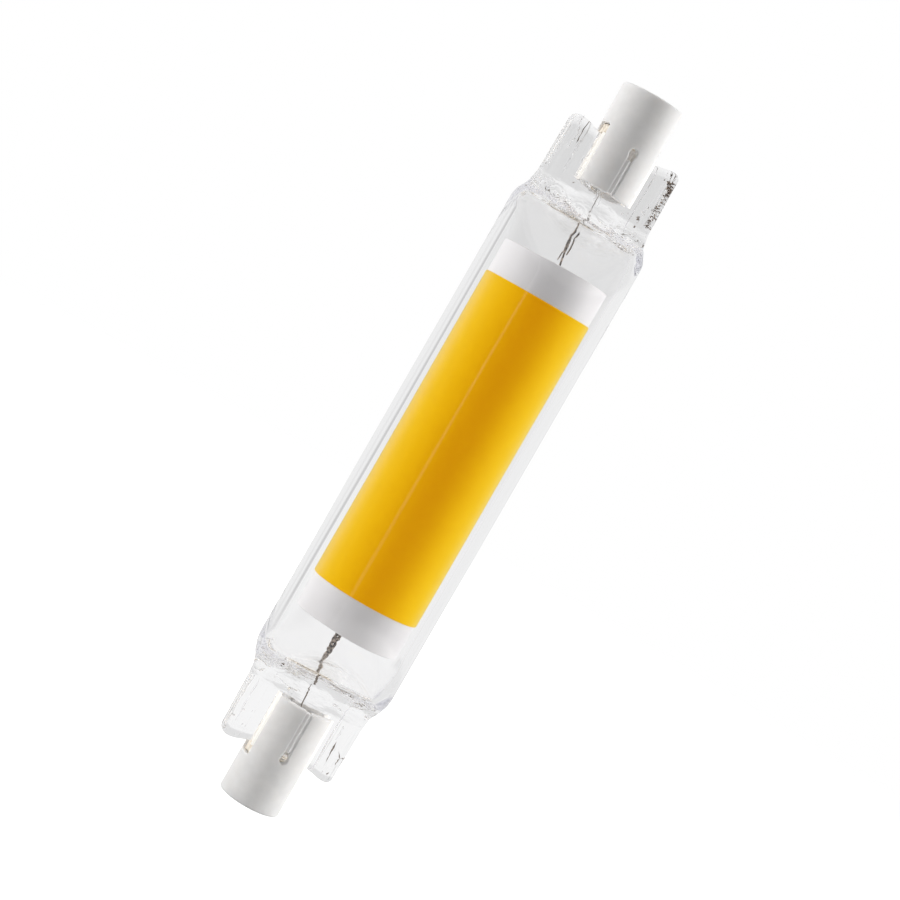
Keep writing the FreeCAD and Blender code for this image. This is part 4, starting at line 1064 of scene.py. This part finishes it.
SEAL_WIRES = {
    "lower": [((0, 0, 5.4), (0, 0, 9.6), (-0.2, 0, 10.5), (-0.45, 0, 12.6), (-0.42, 0, 13.2)),
              ((-0.2, 0, 13.3), (-0.24, 0, 13.7), (-0.42, 0, 14.45), (-0.55, 0, 14.9))],
    "upper": [((0, 0, 5.4), (0, 0, 9.6), (-0.02, 0, 11.5), (0.02, 0, 12.6), (0.1, 0, 12.9)),
              ((0.1, 0, 12.9), (0.27, 0, 13.5), (0.0, 0, 13.85), (-0.32, 0, 14.25))],
}
SEAL_RADII = (0.055, 0.12)


def make_seal_wires():
    """Thin wire in the press and the thicker weld that joins it to the lead."""
    for end, paths in SEAL_WIRES.items():
        parts = []
        for path, radius in zip(paths, SEAL_RADII):
            parts += tapered(path, radius, (1.0, 0.7))
        look = "pale_wire" if end == "upper" else "seal_wire"
        end_piece(end, "welded_seal_wire_%s", "seal_wire", ["seal_wire_%s"], *joined(parts), look=look)


# Ceramic tube and phosphor
TURNED_SIDES = 160
TURNED_EDGE = 0.12
CARRIER_BORE = 4.6
SLEEVE_INSIDE = SLEEVE_RADIUS - 0.3
SLEEVE_ROWS = 120
CREASE_ANGLE = math.radians(32)


def rounded_side(radius, low, high, rows=()):
    """Outer side of a turned piece, from low to high, with its two edges rounded."""
    start = arc((radius - TURNED_EDGE, low + TURNED_EDGE), TURNED_EDGE, -90, 0)
    return start + list(rows) + arc((radius - TURNED_EDGE, high - TURNED_EDGE), TURNED_EDGE, 0, 90)


def turned_piece(name, profile, slot, replaced):
    """Piece turned round the lamp's axis, with crisp crease lines."""
    made = piece(name, slot, replaced, *lathe(profile, TURNED_SIDES))
    made.data.set_sharp_from_angle(angle=CREASE_ANGLE)


def make_carrier():
    low, high = carrier_low.z, carrier_high.z
    waist = [(COLLAR_RADIUS, phosphor_low.z), (SLEEVE_INSIDE, phosphor_low.z)]
    waist += [(SLEEVE_INSIDE, phosphor_high.z), (COLLAR_RADIUS, phosphor_high.z)]
    profile = [(CARRIER_BORE, low + TURNED_EDGE), (CARRIER_BORE + TURNED_EDGE, low)]
    profile += rounded_side(COLLAR_RADIUS, low, high, waist)
    profile += [(CARRIER_BORE + TURNED_EDGE, high), (CARRIER_BORE, high - TURNED_EDGE)]
    turned_piece("ceramic_tube", profile, "tube_ceramic", ["carrier_tube"])


def make_phosphor():
    low, high = phosphor_low.z, phosphor_high.z
    rows = [(SLEEVE_RADIUS, low + TURNED_EDGE + (high - low - 2 * TURNED_EDGE) * step / SLEEVE_ROWS)
            for step in range(1, SLEEVE_ROWS)]
    side = rounded_side(SLEEVE_RADIUS, low, high, rows)
    profile = [(SLEEVE_INSIDE, low), *side, (SLEEVE_INSIDE, high)]
    turned_piece("phosphor_coat", profile, "phosphor", ["phosphor_sleeve"])


def dress_frame_nodes():
    """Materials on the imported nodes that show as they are."""
    for part in frame["record"]["subparts"]:
        shown = frame["nodes"][part["node"]].data.materials
        shown.clear()
        shown.append(materials.get(part["material_slot"]))


# Studio: sizes in metres
LAMP_RAISED = 0.1
LAMP_SIZE = (0.3, 0.8)
LAMP_DISTANCE = 0.5


def add_lamp(name, angle, radiance):
    """Tall soft lamp at an angle round from the camera's side, which only lights dull surfaces."""
    width, tall = LAMP_SIZE
    data = bpy.data.lights.new(name, "AREA")
    data.shape = "RECTANGLE"
    data.size = width
    data.size_y = tall
    data.energy = radiance * math.pi * width * tall
    lamp = bpy.data.objects.new(name, data)
    bpy.context.scene.collection.objects.link(lamp)
    middle = Vector((0.0, 0.0, LENGTH * MM / 2))
    place = middle + side_way(angle) * LAMP_DISTANCE + Vector((0.0, 0.0, LAMP_RAISED))
    aim = (middle - place).to_track_quat("-Z", "Y")
    lamp.matrix_world = Matrix.Translation(place) @ aim.to_matrix().to_4x4()
    lamp.visible_camera = False
    lamp.visible_glossy = False
    lamp.visible_transmission = False


camera_side = Vector((math.sin(CAMERA_AZIMUTH), -math.cos(CAMERA_AZIMUTH), 0.0))
view_right = Vector((math.cos(CAMERA_AZIMUTH), math.sin(CAMERA_AZIMUTH), 0.0))
SHADE_TURN = math.radians(8.0)
LAMP_ANGLE = math.radians(95.0)
LEFT_RADIANCE = 4.8
RIGHT_RADIANCE = 6.2
SOFT_LEVEL = 0.3
SEEN_THROUGH = 0.84
THROUGH_FLOOR = 0.94
THROUGH_ABOVE = 0.76
# What reflections see: degrees round from the camera's side, to the right, and the level there
REFLECTED = [
    (-180, 0.86), (-139, 0.86), (-135, 0.55), (-131, 0.55), (-127, 0.86), (-100, 0.86), (-80, 0.1),
    (-55, 0.0), (-22.5, 0.0), (-21.8, 1.0), (-20.2, 1.0), (-19.5, 0.0), (88, 0.0), (100, 0.3),
    (112, 0.86), (180, 0.86),
]
REFLECTED_HIGH = 0.8
REFLECTED_RISE = (0.16, 0.34)
REFLECTED_AGAIN = 0.92
# Where one level gives way to the next: as a share of straight up, or in metres along the floor
ABOVE_FADE = (-0.02, 0.06)
FLOOR_FADE = (0.1, 0.4)
THROUGH_FADE = (0.05, 0.8)
MIRROR_FADE = (0.07, 0.16)
FLOOR_REACH = 4.0
FLOOR_TONE = 0.8
FLOOR_GLOW = 0.7


def side_way(angle):
    """Level direction at an angle round from the middle of the shade, to the right."""
    turned = angle + SHADE_TURN
    return camera_side * math.cos(turned) + view_right * math.sin(turned)


def reflected_level(nodes, vector):
    """Level that reflections see, by the way round in which vector points."""
    right, front = [
        nodes.vector("DOT_PRODUCT", vector, way, output="Value") for way in (view_right, camera_side)]
    turned = nodes.math("ARCTAN2", right, front)
    share = nodes.math("ADD", nodes.math("MULTIPLY", turned, 0.5 / math.pi), 0.5)
    return nodes.ramp(share, [((angle + 180) / 360, (level,) * 3) for angle, level in REFLECTED])


def ray_flags(nodes):
    """Camera ray, clear path through or off the glass, and whether that was reflected once or more."""
    path = nodes.tree.nodes.new("ShaderNodeLightPath").outputs
    bounced = nodes.math("GREATER_THAN", path["Glossy Depth"], 0.5)
    again = nodes.math("GREATER_THAN", path["Glossy Depth"], 1.5)
    scattered = nodes.math("GREATER_THAN", path["Diffuse Depth"], 0.5)
    sharp = nodes.math("ADD", path["Is Glossy Ray"], path["Is Transmission Ray"], clamp=True)
    clear = nodes.math("MULTIPLY", sharp, nodes.math("SUBTRACT", 1.0, scattered))
    return path["Is Camera Ray"], clear, bounced, again


def make_world():
    """White behind the object, dark in front of it for reflections, and a low even light."""
    world = bpy.data.worlds.new("studio")
    bpy.context.scene.world = world
    world.use_nodes = True
    nodes = Nodes(world.node_tree)
    direction = nodes.place("Generated")
    upward = nodes.vector("DOT_PRODUCT", direction, (0.0, 0.0, 1.0), output="Value")
    steep = nodes.eased(nodes.math("ABSOLUTE", upward), *REFLECTED_RISE, 0.0, 1.0)
    level_part = nodes.math("SUBTRACT", 1.0, steep)
    around = nodes.math("MULTIPLY", reflected_level(nodes, direction), level_part)
    mirrored = nodes.math("ADD", around, nodes.math("MULTIPLY", steep, REFLECTED_HIGH))
    straight = nodes.eased(upward, *ABOVE_FADE, SEEN_THROUGH, THROUGH_ABOVE)
    seen, clear, bounced, again = ray_flags(nodes)
    mirrored = nodes.choose(again, mirrored, REFLECTED_AGAIN)
    level = nodes.choose(clear, SOFT_LEVEL, nodes.choose(bounced, straight, mirrored))
    strength = nodes.choose(seen, level, 1.0)
    nodes.fill(nodes.tree.nodes["Background"], {"Color": (1.0, 1.0, 1.0, 1.0), "Strength": strength})


def make_floor():
    """Pale floor: white to the eye, but it keeps the shadow, and it fades into the background."""
    corners = [(FLOOR_REACH * x, FLOOR_REACH * y, 0) for x, y in ((-1, -1), (1, -1), (1, 1), (-1, 1))]
    mesh = bpy.data.meshes.new("floor")
    mesh.from_pydata(corners, [], [(0, 1, 2, 3)])
    floor = bpy.data.objects.new("floor", mesh)
    bpy.context.scene.collection.objects.link(floor)
    nodes, shader, output = new_material("floor", roughness=0.9)
    nodes.fill(shader, {"Base Color": (FLOOR_TONE,) * 3 + (1.0,), "Specular IOR Level": 0.0})
    seen, clear, bounced, again = ray_flags(nodes)
    place = nodes.place()
    away = nodes.vector("LENGTH", place, output="Value")

    def glow(level):
        return nodes.add("ShaderNodeEmission", "Emission", {"Strength": level})

    bright = glow(nodes.math("MULTIPLY", seen, FLOOR_GLOW))
    near = nodes.add("ShaderNodeAddShader", "Shader", {0: shader.outputs["BSDF"], 1: bright})
    beyond = glow(nodes.choose(seen, SOFT_LEVEL, 1.0))
    far = nodes.eased(away, *FLOOR_FADE, 0.0, 1.0)
    plain = nodes.mixed(far, near, beyond)
    through = nodes.eased(away, *THROUGH_FADE, THROUGH_FLOOR, SEEN_THROUGH)
    dark = nodes.eased(away, *MIRROR_FADE, 0.0, 1.0)
    mirrored = nodes.math("MULTIPLY", dark, reflected_level(nodes, place))
    near_by = nodes.math("MULTIPLY", nodes.math("SUBTRACT", 1.0, dark), REFLECTED_HIGH)
    mirrored = nodes.choose(again, nodes.math("ADD", mirrored, near_by), REFLECTED_AGAIN)
    level = nodes.choose(bounced, through, mirrored)
    nodes.fill(output, {"Surface": nodes.mixed(clear, plain, glow(level))})
    mesh.materials.append(materials["floor"])


def make_camera():
    data = bpy.data.cameras.new("camera")
    data.sensor_width = SENSOR_WIDTH
    data.sensor_fit = "HORIZONTAL"
    data.lens = SENSOR_WIDTH * FOCAL_PIXELS / PHOTO_SIZE
    data.clip_start = 0.01
    camera = bpy.data.objects.new("camera", data)
    bpy.context.scene.collection.objects.link(camera)
    bpy.context.scene.camera = camera
    towards = camera_side * math.cos(CAMERA_ELEVATION) + Vector((0, 0, math.sin(CAMERA_ELEVATION)))
    level_up = towards.cross(view_right)
    right = view_right * math.cos(CAMERA_ROLL) + level_up * math.sin(CAMERA_ROLL)
    up = level_up * math.cos(CAMERA_ROLL) - view_right * math.sin(CAMERA_ROLL)
    pixel = CAMERA_DISTANCE / FOCAL_PIXELS
    aside = (PHOTO_SIZE / 2 - MIDDLE_PIXEL[0]) * pixel
    above = (MIDDLE_PIXEL[1] - PHOTO_SIZE / 2) * pixel
    middle = Vector((0.0, 0.0, LENGTH / 2))
    place = (middle + towards * CAMERA_DISTANCE + right * aside + up * above) * MM
    turn = Matrix((right, up, towards)).transposed()
    camera.matrix_world = Matrix.Translation(place) @ turn.to_4x4()


# Light that the thick glass ends carry round inside is followed for this many turns
MAX_BOUNCES = 96

make_camera()
dress_frame_nodes()
make_glass()
make_painted_shade_marks()
make_caps()
make_contacts()
make_cement()
make_leads()
make_seal_wires()
make_carrier()
make_phosphor()
make_world()
make_floor()
add_lamp("lamp_left", -LAMP_ANGLE, LEFT_RADIANCE)
add_lamp("lamp_right", LAMP_ANGLE, RIGHT_RADIANCE)
bpy.context.scene.view_settings.view_transform = "Standard"
cycles = bpy.context.scene.cycles
cycles.max_bounces = cycles.glossy_bounces = cycles.transmission_bounces = MAX_BOUNCES
